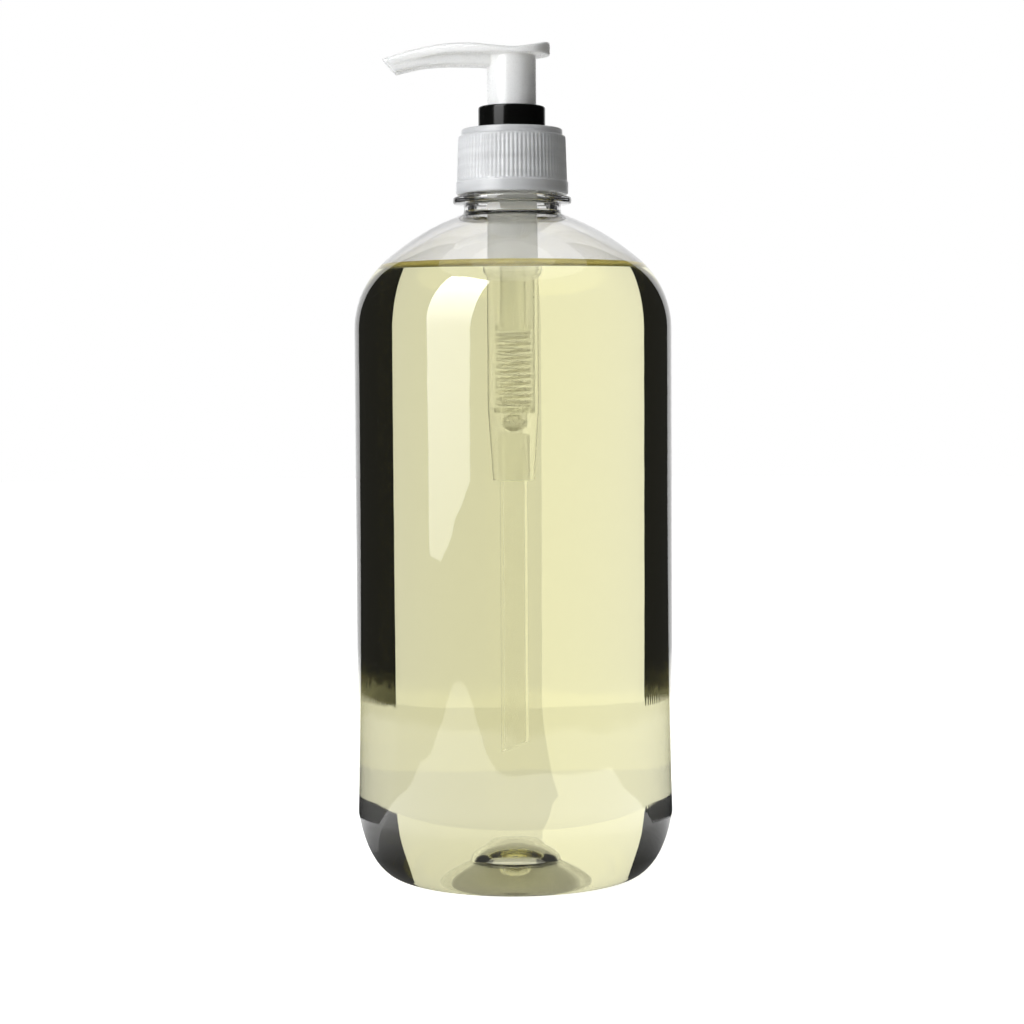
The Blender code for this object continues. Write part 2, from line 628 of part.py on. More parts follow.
def make_spring(parts):
    """The return spring, with one closed coil at each end."""
    radius = SPRING_OUTER_RADIUS - SPRING_WIRE_RADIUS
    closed_pitch = 2 * SPRING_WIRE_RADIUS + SPRING_END_GAP
    travel = SPRING_LENGTH - 2 * SPRING_WIRE_RADIUS
    open_pitch = (travel - 2 * closed_pitch) / (SPRING_COILS - 2)
    points = []
    for index in range(SPRING_COILS * WIRE_POINTS_PER_TURN + 1):
        turn = index / WIRE_POINTS_PER_TURN
        lower = min(turn, 1.0)
        upper = max(turn - (SPRING_COILS - 1), 0.0)
        height = SPRING_WIRE_RADIUS + closed_pitch * (lower + upper) + open_pitch * (turn - lower - upper)
        angle = 2 * math.pi * turn
        points.append((radius * math.cos(angle), radius * math.sin(angle), height))
    spring = poly_curve("return_spring", points, SPRING_WIRE_RADIUS, 2, parts)
    spring.location = (0.0, 0.0, SPRING_BOTTOM)
    spring.data.materials.append(make_material("spring_steel", (0.62, 0.62, 0.62), 0.25, metallic=1.0))
    return spring


# Closure and collar

def closure_band_radius(height):
    """Outer radius of the ribbed band, which narrows upwards."""
    foot = CLOSURE_FOOT + CLOSURE_BEAD_HEIGHT
    top = CLOSURE_TOP - CLOSURE_TOP_HEIGHT
    share = (height - foot) / (top - foot)
    return CLOSURE_BAND_FOOT_RADIUS + (CLOSURE_BAND_TOP_RADIUS - CLOSURE_BAND_FOOT_RADIUS) * share


def rib_grooves(cutters):
    """One cutter made of all the grooves between the closure's ribs."""
    foot = CLOSURE_FOOT + CLOSURE_BEAD_HEIGHT
    top = CLOSURE_TOP - CLOSURE_TOP_HEIGHT
    length = top - foot + 2 * RIB_GROOVE_DEPTH
    draft = math.atan2(CLOSURE_BAND_FOOT_RADIUS - CLOSURE_BAND_TOP_RADIUS, top - foot)
    middle = foot + length / 2
    radius = closure_band_radius(middle) - RIB_GROOVE_DEPTH + RIB_GROOVE_RADIUS
    mesh = bpy.data.meshes.new("rib_grooves")
    build = bmesh.new()
    for index in range(RIB_COUNT):
        turn = Matrix.Rotation(2 * math.pi * (index + 0.5) / RIB_COUNT, 4, "Z")
        lean = Matrix.Translation((radius, 0.0, middle)) @ Matrix.Rotation(-draft, 4, "Y")
        bmesh.ops.create_cone(build, cap_ends=True, segments=4, radius1=RIB_GROOVE_RADIUS,
                              radius2=RIB_GROOVE_RADIUS, depth=length, matrix=turn @ lean)
    build.to_mesh(mesh)
    build.free()
    grooves = bpy.data.objects.new("rib_grooves", mesh)
    cutters.objects.link(grooves)
    return grooves


def make_closure(parts, cutters):
    """The ribbed screw closure, open at the top for the pump's mouth."""
    hole = MOUTH_RADIUS + SNAP_BEAD_HEIGHT + SEAT_GAP
    band_foot = CLOSURE_FOOT + CLOSURE_BEAD_HEIGHT
    band_top = CLOSURE_TOP - CLOSURE_TOP_HEIGHT
    edge = CLOSURE_EDGE_ROUND
    profile = [(hole, CLOSURE_TOP)]
    profile += arc((CLOSURE_TOP_RADIUS - edge, CLOSURE_TOP - edge), edge, math.pi / 2, 0.0, 2)
    profile += [
        (CLOSURE_TOP_RADIUS, band_top + edge / 2),
        (closure_band_radius(band_top) - edge / 2, band_top + edge / 4),
        (closure_band_radius(band_top - edge / 2), band_top - edge / 2),
        (CLOSURE_BAND_FOOT_RADIUS, band_foot),
        (CLOSURE_BEAD_RADIUS, band_foot - edge / 2),
        (CLOSURE_BEAD_RADIUS, CLOSURE_FOOT + edge / 2),
        (CLOSURE_BEAD_RADIUS - edge / 2, CLOSURE_FOOT),
        (CLOSURE_BORE_RADIUS + edge, CLOSURE_FOOT),
        (CLOSURE_BORE_RADIUS, CLOSURE_FOOT + edge),
        (CLOSURE_BORE_RADIUS, CLOSURE_CEILING),
        (hole, CLOSURE_CEILING),
    ]
    closure = turned("closure", profile, CLOSURE_FOOT, CLOSURE_SEGMENTS, parts, closed=True)
    thread_top = THREAD_TOP - CLOSURE_THREAD_DROP - (THREAD_TURNS - CLOSURE_THREAD_TURNS) * THREAD_PITCH
    thread = thread_ridge("closure_thread", CLOSURE_BORE_RADIUS, thread_top, CLOSURE_THREAD_TURNS, cutters)
    combine(closure, thread, "UNION")
    combine(closure, rib_grooves(cutters), "DIFFERENCE")
    closure.data.materials.append(make_material("natural_pp_closure", (0.86, 0.87, 0.88), 0.35, transmission=0.2))
    return closure


def make_collar(parts):
    """The black collar that snaps over the housing's mouth and guides the actuator."""
    bore = MOUTH_RADIUS + SEAT_GAP
    throat = SKIRT_RADIUS + SEAT_GAP
    ledge = MOUTH_TOP + SEAT_GAP
    bead = MOUTH_TOP - SNAP_BEAD_BELOW_MOUTH
    profile = [(throat, COLLAR_TOP)]
    profile += arc((COLLAR_RADIUS - COLLAR_ROUND, COLLAR_TOP - COLLAR_ROUND), COLLAR_ROUND, math.pi / 2, 0.0, 3)
    profile += [
        (COLLAR_RADIUS, COLLAR_BOTTOM),
        (bore, COLLAR_BOTTOM),
        (bore, bead - SNAP_BEAD_HALF_WIDTH - SEAT_GAP),
        (bore + SNAP_BEAD_HEIGHT, bead),
        (bore, bead + SNAP_BEAD_HALF_WIDTH + SEAT_GAP),
        (bore, ledge),
        (throat, ledge),
    ]
    collar = turned("locking_collar", profile, COLLAR_BOTTOM, PUMP_SEGMENTS, parts, closed=True)
    collar.data.materials.append(make_material("black_pp", (0.012, 0.012, 0.012), 0.2))
    return collar


# Piston, stem and rod

def make_piston(parts):
    """The soft piston: a hub around the stem and two thin lips against the barrel."""
    outer = PISTON_BORE_RADIUS - SEAT_GAP
    bore = STEM_SOCKET_RADIUS
    hub = bore + PISTON_HUB_WALL
    waist = outer - PISTON_GROOVE_DEPTH
    profile = [
        (bore, PISTON_TOP),
        (hub, PISTON_TOP),
        (hub, PISTON_TOP - PISTON_LIP_DEPTH),
        (outer - PISTON_LIP_WALL, PISTON_TOP),
        (outer, PISTON_TOP),
        (waist, PISTON_TOP - PISTON_LIP_DEPTH),
        (waist, PISTON_BOTTOM + PISTON_LIP_DEPTH),
        (outer, PISTON_BOTTOM),
        (outer - PISTON_LIP_WALL, PISTON_BOTTOM),
        (hub, PISTON_BOTTOM + PISTON_LIP_DEPTH),
        (hub, PISTON_BOTTOM),
        (bore, PISTON_BOTTOM),
    ]
    piston = turned("piston_seal", profile, PISTON_BOTTOM, PUMP_SEGMENTS, parts, closed=True)
    piston.data.materials.append(make_material("soft_pe", (0.80, 0.82, 0.84), 0.4))
    return piston


def make_stem(parts):
    """The tube between piston and actuator, with the outlet ball's seat in its top."""
    chamber = OUTLET_BALL_RADIUS + SEAT_GAP
    seat_foot = OUTLET_BALL_CENTRE - math.sqrt(2) * chamber + STEM_BORE_RADIUS
    profile = [
        (chamber, STEM_TOP),
        (STEM_RADIUS, STEM_TOP),
        (STEM_RADIUS, STEM_FLANGE_BOTTOM + STEM_FLANGE_THICKNESS),
        (STEM_FLANGE_RADIUS, STEM_FLANGE_BOTTOM + STEM_FLANGE_THICKNESS),
        (STEM_FLANGE_RADIUS, STEM_FLANGE_BOTTOM),
        (STEM_RADIUS, STEM_FLANGE_BOTTOM),
        (STEM_RADIUS, PISTON_BOTTOM),
        (SPIGOT_BORE_RADIUS, PISTON_BOTTOM),
        (SPIGOT_BORE_RADIUS, ROD_TOP + SEAT_GAP),
        (STEM_BORE_RADIUS, ROD_TOP + SEAT_GAP),
        (STEM_BORE_RADIUS, seat_foot),
        (chamber, seat_foot + chamber - STEM_BORE_RADIUS),
    ]
    stem = turned("stem", profile, STEM_FLANGE_BOTTOM, SMALL_SEGMENTS, parts, closed=True)
    stem.data.materials.append(make_material("natural_pp_stem", (0.84, 0.85, 0.84), 0.3, transmission=0.3))
    return stem


def make_rod(parts, cutters):
    """The rod from the spring up into the stem, with the head that the piston closes on."""
    foot_radius = SPRING_OUTER_RADIUS
    profile = [
        (0.0, ROD_TOP),
        (ROD_SPIGOT_RADIUS, ROD_TOP),
        (ROD_SPIGOT_RADIUS, ROD_HEAD_TOP),
        (ROD_HEAD_RADIUS, ROD_HEAD_TOP),
        (ROD_HEAD_RADIUS, ROD_HEAD_BOTTOM),
        (ROD_RADIUS, ROD_HEAD_BOTTOM - (ROD_HEAD_RADIUS - ROD_RADIUS)),
        (ROD_RADIUS, ROD_FOOT + ROD_FOOT_THICKNESS),
        (foot_radius, ROD_FOOT + ROD_FOOT_THICKNESS),
        (foot_radius, ROD_FOOT),
        (0.0, ROD_FOOT),
    ]
    rod = turned("piston_rod", profile, ROD_HEAD_TOP, SMALL_SEGMENTS, parts)
    length = ROD_SPIGOT_LENGTH
    for index in range(4):
        angle = 2 * math.pi * (index + 0.5) / 4
        mesh = bpy.data.meshes.new(f"rod_flute_{index}")
        build = bmesh.new()
        place = Matrix.Rotation(angle, 4, "Z") @ Matrix.Translation(
            (ROD_SPIGOT_RADIUS, 0.0, ROD_HEAD_TOP + SEAT_GAP + length / 2))
        bmesh.ops.create_cone(build, cap_ends=True, segments=8, radius1=ROD_FLUTE_RADIUS,
                              radius2=ROD_FLUTE_RADIUS, depth=length, matrix=place)
        build.to_mesh(mesh)
        build.free()
        flute = bpy.data.objects.new(f"rod_flute_{index}", mesh)
        cutters.objects.link(flute)
        combine(rod, flute, "DIFFERENCE")
    rod.data.materials.append(make_material("white_pp_rod", (0.86, 0.86, 0.85), 0.35))
    return rod


# Actuator

def head_half_width(x):
    """Half-width of the head plate: round behind the stem, easing down to the spout's tip."""
    if x > HEAD_BACK_CENTRE:
        return math.sqrt(max(HEAD_BACK_RADIUS ** 2 - (x - HEAD_BACK_CENTRE) ** 2, 0.0))
    t = min((HEAD_BACK_CENTRE - x) / (HEAD_BACK_CENTRE + SPOUT_REACH), 1.0)
    ease = t * t * (3 - 2 * t)
    return HEAD_BACK_RADIUS + (SPOUT_TIP_HALF_WIDTH - HEAD_BACK_RADIUS) * ease


def duct_half_width(x):
    """Half-width of the duct below the plate."""
    t = min(-x / SPOUT_REACH, 1.0)
    return DUCT_ROOT_HALF_WIDTH + (DUCT_TIP_HALF_WIDTH - DUCT_ROOT_HALF_WIDTH) * t


def loft(name, sections, collection):
    """Skin a row of like sections, each a closed ring of points, and cap both ends."""
    build = bmesh.new()
    rings = [[build.verts.new(point) for point in ring] for ring in sections]
    count = len(rings[0])
    for ring, following in zip(rings, rings[1:]):
        for index in range(count):
            after = (index + 1) % count
            build.faces.new((ring[index], ring[after], following[after], following[index]))
    build.faces.new(rings[0][::-1])
    build.faces.new(rings[-1])
    bmesh.ops.recalc_face_normals(build, faces=build.faces)
    mesh = bpy.data.meshes.new(name)
    build.to_mesh(mesh)
    build.free()
    mesh.shade_smooth()
    mesh.set_sharp_from_angle(angle=SMOOTH_ANGLE)
    piece = bpy.data.objects.new(name, mesh)
    collection.objects.link(piece)
    return piece


def mirrored_ring(x, half):
    """A full section ring at x from its right half, given as (y, z) from top middle to bottom middle."""
    right = [(x, y, z) for y, z in half]
    left = [(x, -y, z) for y, z in half[-2:0:-1]]
    return right + left


def head_plate(parts):
    """The saddle-shaped finger plate, which runs on as the top of the spout."""
    stations = [HEAD_BACK_CENTRE + HEAD_BACK_RADIUS * math.sin(math.radians(angle))
                for angle in (86, 80, 70, 58, 42, 22, 0)]
    tip = -SPOUT_REACH - TIP_OVERRUN
    count = 14
    stations += [HEAD_BACK_CENTRE + (tip - HEAD_BACK_CENTRE) * step / count for step in range(1, count + 1)]
    sections = []
    for x in stations:
        width = head_half_width(x)
        edge = min(HEAD_EDGE_ROUND, width / 2)
        under = min(HEAD_UNDER_ROUND, width / 2)
        over = max(x - (HEAD_BACK_CENTRE + HEAD_BACK_RADIUS - HEAD_EDGE_ROUND), 0.0)
        drop = HEAD_EDGE_ROUND - math.sqrt(HEAD_EDGE_ROUND ** 2 - over ** 2)
        top = CLOSURE_TOP + smooth_line(HEAD_TOP_LINE, x) - drop
        bottom = CLOSURE_TOP + smooth_line(RIM_BOTTOM_LINE, x)
        half = [(0.0, top + HEAD_CROWN), (width / 2, top + HEAD_CROWN * 0.75)]
        half += arc((width - edge, top - edge), edge, math.pi / 2, 0.0, 3)
        half += [(width, bottom + under), (width - under, bottom), (0.0, bottom)]
        sections.append(mirrored_ring(x, half))
    return loft("actuator", sections, parts)


def spout_duct(cutters):
    """The body of the spout under the plate."""
    root = 0.0
    tip = -SPOUT_REACH - TIP_OVERRUN
    count = 12
    sections = []
    for step in range(count + 1):
        x = root + (tip - root) * step / count
        width = duct_half_width(x)
        top = CLOSURE_TOP + (smooth_line(HEAD_TOP_LINE, x) + smooth_line(RIM_BOTTOM_LINE, x)) / 2
        bottom = CLOSURE_TOP + smooth_line(SPOUT_BOTTOM_LINE, min(x, SPOUT_BOTTOM_LINE[-1][0]))
        half = [(0.0, top), (width, top)]
        half += arc((width - DUCT_EDGE_ROUND, bottom + DUCT_EDGE_ROUND), DUCT_EDGE_ROUND, 0.0, -math.pi / 2, 3)
        half += [(0.0, bottom)]
        sections.append(mirrored_ring(x, half))
    return loft("spout_duct", sections, cutters)


def duct_height(x):
    """Height of the duct's middle line."""
    at = min(x, SPOUT_BOTTOM_LINE[-1][0])
    return CLOSURE_TOP + (smooth_line(HEAD_TOP_LINE, at) + smooth_line(SPOUT_BOTTOM_LINE, at)) / 2


def duct_route():
    """Points along the duct: up from the stem socket, around a bend and out past the spout's tip."""
    level = duct_height(0.0)
    route = [(0.0, 0.0, SOCKET_CEILING - SEAT_GAP)]
    for x, z in arc((-DUCT_BEND_RADIUS, level - DUCT_BEND_RADIUS), DUCT_BEND_RADIUS, 0.0, math.pi / 2, 5):
        route.append((x, 0.0, z))
    start = -DUCT_BEND_RADIUS
    end = -SPOUT_REACH - 2 * TIP_OVERRUN
    count = 14
    for step in range(1, count + 1):
        x = start + (end - start) * step / count
        route.append((x, 0.0, duct_height(x)))
    return route


def make_actuator(parts, cutters):
    """The pressed head: finger plate, spout, skirt and stem socket in one moulding."""
    actuator = head_plate(parts)
    plate_low = CLOSURE_TOP + min(z for _, z in HEAD_TOP_LINE[3:])
    plate_bottom = CLOSURE_TOP + RIM_BOTTOM_LINE[-1][1]
    stem_top = (plate_low + plate_bottom) / 2
    skirt_bore = SKIRT_RADIUS - SKIRT_WALL
    socket_outside = STEM_SOCKET_RADIUS + SOCKET_WALL
    skirt_profile = [
        (0.0, stem_top),
        (SKIRT_RADIUS, stem_top),
        (SKIRT_RADIUS, SKIRT_END),
        (skirt_bore, SKIRT_END),
        (skirt_bore, SKIRT_CEILING),
        (socket_outside, SKIRT_CEILING),
        (socket_outside, SOCKET_END),
        (STEM_SOCKET_RADIUS, SOCKET_END),
        (STEM_SOCKET_RADIUS, SOCKET_CEILING),
        (0.0, SOCKET_CEILING),
    ]
    skirt = turned("actuator_skirt", skirt_profile, SKIRT_END, PUMP_SEGMENTS, cutters)
    combine(actuator, spout_duct(cutters), "UNION")
    combine(actuator, skirt, "UNION")

    # The tilt keeps the bore's corners off the edges of the turned socket
    bore = poly_curve("duct_wire", duct_route(), DUCT_RADIUS, 4, cutters, twist="MINIMUM", tilt=math.radians(7))
    combine(actuator, evaluated_copy(bore, "duct_bore", cutters), "DIFFERENCE")

    size = 8 * TIP_OVERRUN
    tip_height = CLOSURE_TOP + smooth_line(HEAD_TOP_LINE, -SPOUT_REACH)
    cut = (Matrix.Translation((-SPOUT_REACH, 0.0, tip_height)) @ Matrix.Rotation(TIP_CUT_ANGLE, 4, "Y")
           @ Matrix.Translation((0.0, 0.0, -size / 2)))
    combine(actuator, box("tip_cut", (size, size, size), cut, cutters), "DIFFERENCE")
    actuator.data.materials.append(make_material("natural_pp_actuator", (0.88, 0.88, 0.87), 0.3, transmission=0.1))
    return actuator


def main():
    """Build every piece and hang the moving ones from empties on the axis."""
    for old in list(bpy.data.objects):
        bpy.data.objects.remove(old)
    parts = new_collection("hand_sanitizer_pump_bottle")
    cutters = new_collection("cutters")

    make_bottle(parts, cutters)
    make_liquid(parts)
    pump_axis = make_empty("pump_axis", NECK_LAND, None, parts)
    closure_axis = make_empty("closure_axis", CLOSURE_FOOT, pump_axis, parts)
    piston_axis = make_empty("piston_axis", PISTON_BOTTOM, pump_axis, parts)
    head_axis = make_empty("head_axis", COLLAR_TOP, piston_axis, parts)

    pump_unit = [
        make_housing(parts),
        make_gasket(parts),
        make_collar(parts),
        make_retainer(parts, cutters),
        make_dip_tube(parts, cutters),
        make_spring(parts),
    ]
    inlet_ball = ball("inlet_ball", INLET_BALL_RADIUS, INLET_BALL_CENTRE, parts)
    inlet_ball.data.materials.append(make_material("steel_ball", (0.66, 0.66, 0.67), 0.12, metallic=1.0))
    pump_unit.append(inlet_ball)
    for piece in pump_unit:
        attach(piece, pump_axis)
    attach(make_closure(parts, cutters), closure_axis)
    attach(make_piston(parts), piston_axis)

    head = [make_actuator(parts, cutters), make_stem(parts), make_rod(parts, cutters)]
    outlet_ball = ball("outlet_ball", OUTLET_BALL_RADIUS, OUTLET_BALL_CENTRE, parts)
    outlet_ball.data.materials.append(make_material("steel_outlet_ball", (0.66, 0.66, 0.67), 0.12, metallic=1.0))
    head.append(outlet_ball)
    for piece in head:
        attach(piece, head_axis)
    bpy.context.view_layer.update()


main()
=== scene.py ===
"""Looks for the hand sanitizer pump bottle, laid out as a Blender add-on and run as a script.

Lengths are in metres and +Z is up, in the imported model's frame. The spout points along -X and the
photograph looks along +Y. Each turned piece is a run of (radius, height, fillet) corners.
"""

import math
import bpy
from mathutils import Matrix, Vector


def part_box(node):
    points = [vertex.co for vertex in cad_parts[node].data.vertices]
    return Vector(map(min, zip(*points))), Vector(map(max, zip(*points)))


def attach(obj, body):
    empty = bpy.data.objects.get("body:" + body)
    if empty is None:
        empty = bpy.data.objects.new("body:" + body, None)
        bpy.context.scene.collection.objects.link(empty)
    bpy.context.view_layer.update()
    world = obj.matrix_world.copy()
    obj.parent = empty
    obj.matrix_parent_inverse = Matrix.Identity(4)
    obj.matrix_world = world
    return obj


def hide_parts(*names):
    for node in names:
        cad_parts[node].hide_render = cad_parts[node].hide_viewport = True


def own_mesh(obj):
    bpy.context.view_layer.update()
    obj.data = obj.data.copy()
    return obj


bl_info = {
    "name": "Hand sanitizer pump bottle",
    "version": (1, 0, 0),
    "blender": (4, 5, 0),
    "location": "3D View > Sidebar > Pump Bottle",
    "description": "Builds a clear pump bottle of hand sanitizer, its finishes and a pale studio around it",
    "category": "Object",
}

import bmesh
import bpy
from bpy.props import FloatProperty, FloatVectorProperty, IntProperty, PointerProperty
from bpy.types import Operator, Panel, PropertyGroup
from mathutils import Matrix, Vector

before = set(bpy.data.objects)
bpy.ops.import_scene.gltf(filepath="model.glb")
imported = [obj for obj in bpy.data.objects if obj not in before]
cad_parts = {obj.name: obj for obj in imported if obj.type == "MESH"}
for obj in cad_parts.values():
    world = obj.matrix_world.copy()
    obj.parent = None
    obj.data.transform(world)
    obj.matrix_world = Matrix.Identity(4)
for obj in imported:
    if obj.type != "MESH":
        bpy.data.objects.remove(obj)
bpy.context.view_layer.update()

MILLIMETRE = 0.001
SHARP_ANGLE = math.radians(40)
MERGE_DISTANCE = 0.000004
MATH = "ShaderNodeMath"
VECTOR_MATH = "ShaderNodeVectorMath"
WHITE = (1.0, 1.0, 1.0, 1.0)

# Sizes that several pieces share
SEAT_GAP = 0.0003
STEM_RADIUS = 0.0035
PISTON_FLANGE = 0.0046
RELIEF_MARGIN = 0.0001

# Longest runs between the points of a turned profile
THREAD_STEP = 0.00022
RIB_STEP = 0.0004
SIDE_STEP = 0.012

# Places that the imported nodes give
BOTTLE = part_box("bottle")
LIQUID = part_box("sanitizer_liquid")
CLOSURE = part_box("closure")
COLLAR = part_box("locking_collar")
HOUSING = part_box("pump_housing")
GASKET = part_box("outer_gasket")
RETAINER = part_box("ball_retainer")
INLET_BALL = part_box("inlet_ball")
OUTLET_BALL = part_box("outlet_ball")
DIP_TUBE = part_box("dip_tube")
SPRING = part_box("return_spring")
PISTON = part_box("piston_seal")
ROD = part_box("piston_rod")
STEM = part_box("stem")
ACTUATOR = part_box("actuator")

BODY_RADIUS = BOTTLE[1].x
NECK_LAND = BOTTLE[1].z
CLOSURE_TOP = CLOSURE[1].z


# Settings

def length(name, description, default):
    """A length that the sidebar shows in scene units."""
    return FloatProperty(name=name, description=description, default=default, unit="LENGTH", precision=5)


def number(name, description, default):
    """A plain number."""
    return FloatProperty(name=name, description=description, default=default)


def whole(name, description, default, least, most):
    """A whole number with its limits."""
    return IntProperty(name=name, description=description, default=default, min=least, max=most)


def angle(name, description, degrees):
    """An angle, given in degrees."""
    return FloatProperty(name=name, description=description, default=math.radians(degrees), subtype="ANGLE")


def linear(code):
    """Linear red, green and blue of an sRGB hex value."""
    values = [int(code[index:index + 2], 16) / 255 for index in (1, 3, 5)]
    return tuple(v / 12.92 if v <= 0.04045 else ((v + 0.055) / 1.055) ** 2.4 for v in values)


def colour(name, description, code):
    """A colour, given as an sRGB hex value."""
    return FloatVectorProperty(name=name, description=description, default=linear(code), subtype="COLOR",
                               size=3, min=0.0, max=1.0)


class BottleShape(PropertyGroup):
    """Sizes of the blown bottle."""
    wall: length("Wall", "Thickness of the blown wall", 0.0008)
    side_top: length("Side top", "Height where the straight side ends", 0.1554)
    shoulder_radius: length("Shoulder radius", "Radius of the lower shoulder", 0.0259)
    shoulder_sweep: angle("Shoulder sweep", "Turn of the lower shoulder", 47.9)
    crown_radius: length("Crown radius", "Radius of the upper shoulder", 0.0660)
    corner_height: length("Corner height", "Height where the base corner starts", 0.0182)
    corner_slope: angle("Corner slope", "Lean of the side where the base corner starts", 8.7)
    corner_upper: length("Corner upper handle", "Reach of the corner's curve down the side", 0.0142)
    corner_lower: length("Corner lower handle", "Reach of the corner's curve along the base", 0.0028)
    ring_radius: length("Standing ring", "Outer radius of the ring it stands on", 0.0339)
    ring_width: length("Standing ring width", "Width of the ring it stands on", 0.0020)
    crease_radius: length("Crease radius", "Radius where the push-up's dome begins", 0.0215)
    crease_height: length("Crease height", "Height where the push-up's dome begins", 0.0037)
    dome_radius: length("Dome radius", "Radius of the push-up's middle dome", 0.0088)
    dome_foot: length("Dome foot", "Height of the middle dome's foot", 0.0086)
    dome_rise: length("Dome rise", "Height of the middle dome", 0.0040)
    neck_waist: length("Neck waist", "Radius between shoulder and support ring", 0.01375)
    neck_waist_height: length("Neck waist height", "Height of the part below the support ring", 0.0029)
    neck_bore: length("Neck bore", "Inner radius of the neck", 0.01085)
    neck_root: length("Thread root", "Radius of the neck between its threads", 0.0127)
    ring_thickness: length("Support ring thickness", "Thickness of the support ring", 0.0018)
    support_radius: length("Support ring", "Radius of the support ring", 0.01677)
    thread_depth: length("Thread depth", "Height of the thread over its root", 0.00105)
    thread_pitch: length("Thread pitch", "Rise of the thread in one turn", 0.004233)
    thread_turns: number("Thread turns", "Turns of the neck's thread", 1.5)
    thread_start: length("Thread start", "Distance from the neck's land to the thread", 0.0029)
    meniscus: length("Meniscus", "Rise of the gel's edge along the wall", 0.0034)
    segments: whole("Segments", "Steps around the bottle", 160, 32, 360)


class ClosureShape(PropertyGroup):
    """Sizes of the ribbed screw closure and the locking collar."""
    top_radius: length("Top radius", "Radius of the smooth top disc", 0.0143)
    top_height: length("Top height", "Height of the smooth top disc", 0.0021)
    top_thickness: length("Top thickness", "Thickness of the closure's top", 0.0015)
    band_top: length("Band top radius", "Radius at the top of the ribbed band", 0.0152)
    band_foot: length("Band foot radius", "Radius at the foot of the ribbed band", 0.0156)
    bead_height: length("Bead height", "Height of the smooth bead at the foot", 0.0034)
    rib_count: whole("Ribs", "Number of ribs around the band", 80, 12, 160)
    rib_depth: length("Rib depth", "Depth of the grooves between the ribs", 0.00020)
    thread_turns: number("Thread turns", "Turns of the inner thread", 1.25)
    thread_drop: length("Thread drop", "Inner thread's place under the neck's thread", 0.0013)
    collar_round: length("Collar round", "Rounding of the collar's upper edge", 0.0007)


class PumpShape(PropertyGroup):
    """Sizes of the pump's stepped housing, valves and dip tube."""
    gap: length("Fit", "Clearance between pieces that seat or slide", 0.0003)
    flange_thickness: length("Flange thickness", "Thickness of the housing's flange", 0.0010)
    mouth_radius: length("Mouth radius", "Outer radius of the housing's mouth", 0.0082)
    upper_radius: length("Upper barrel radius", "Radius of the barrel under the flange", 0.0085)
    upper_length: length("Upper barrel length", "Length of the barrel under the flange", 0.0141)
    piston_radius: length("Piston barrel radius", "Radius of the barrel around the piston", 0.00712)
    piston_length: length("Piston barrel length", "Length of the barrel around the piston", 0.0194)
    middle_radius: length("Middle barrel radius", "Radius of the barrel around the rod", 0.0062)
    middle_length: length("Middle barrel length", "Length of the barrel around the rod", 0.0101)
    spring_radius: length("Spring barrel radius", "Radius of the barrel around the spring", 0.00535)
    spring_length: length("Spring barrel length", "Length of the barrel around the spring", 0.0303)
    tail_radius: length("Tail radius", "Radius at the end of the housing's tail", 0.0043)
    barrel_wall: length("Barrel wall", "Wall of the barrels", 0.0010)
    step: length("Step", "Height of the steps between barrels", 0.0008)
    tube_wall: length("Tube wall", "Wall of the dip tube", 0.0007)
    tube_cut: angle("Tube cut", "Slant of the dip tube's end", 28)
    wire_radius: length("Wire radius", "Radius of the spring's wire", 0.0004)
    coils: whole("Coils", "Coils of the return spring", 12, 4, 40)


class ActuatorShape(PropertyGroup):
    """Sizes of the pressed head."""
    skirt_radius: length("Skirt radius", "Outer radius of the skirt", 0.00695)
    skirt_wall: length("Skirt wall", "Wall of the skirt", 0.0012)
    back_radius: length("Back radius", "Radius of the finger plate's round end", 0.0082)
    back_centre: length("Back centre", "Place of the round end's centre behind the axis", 0.0027)
    edge_round: length("Edge round", "Rounding of the plate's upper edge", 0.0012)
    crown: length("Crown", "Rise of the plate's middle over its edges", 0.0003)
    tip_half_width: length("Tip half width", "Half width of the spout at its tip", 0.0034)
    duct_root: length("Duct root half width", "Half width of the duct at the skirt", 0.0044)
    duct_tip: length("Duct tip half width", "Half width of the duct at the tip", 0.0031)
    duct_radius: length("Duct bore", "Radius of the bore in the spout", 0.0015)
    tip_cut: angle("Tip cut", "Slant of the spout's cut end", 48)
    voxel: length("Surface step", "Step of the moulded surface", 0.00026)


class FinishColours(PropertyGroup):
    """Colours of the materials."""
    pet: colour("PET", "Clear blown PET", "#FCFCFC")
    gel: colour("Gel", "What the gel lets through in depth", "#F2EC5D")
    # The gel's yellow, deepened as painted shade of the meniscus's dark band
    gel_edge: colour("Gel edge", "The gel's film along the wall", "#D8CC7C")
    closure: colour("Closure", "Natural polypropylene of the closure", "#D2D3D3")
    actuator: colour("Actuator", "White polypropylene of the head", "#F4F4F1")
    housing: colour("Housing", "Natural polypropylene of the pump", "#E9E9E2")
    collar: colour("Collar", "Black polypropylene", "#0C0C0B")
    tube: colour("Dip tube", "Natural polyethylene", "#FFFFFD")
    steel: colour("Steel", "Stainless steel wire and balls", "#F2F1EE")


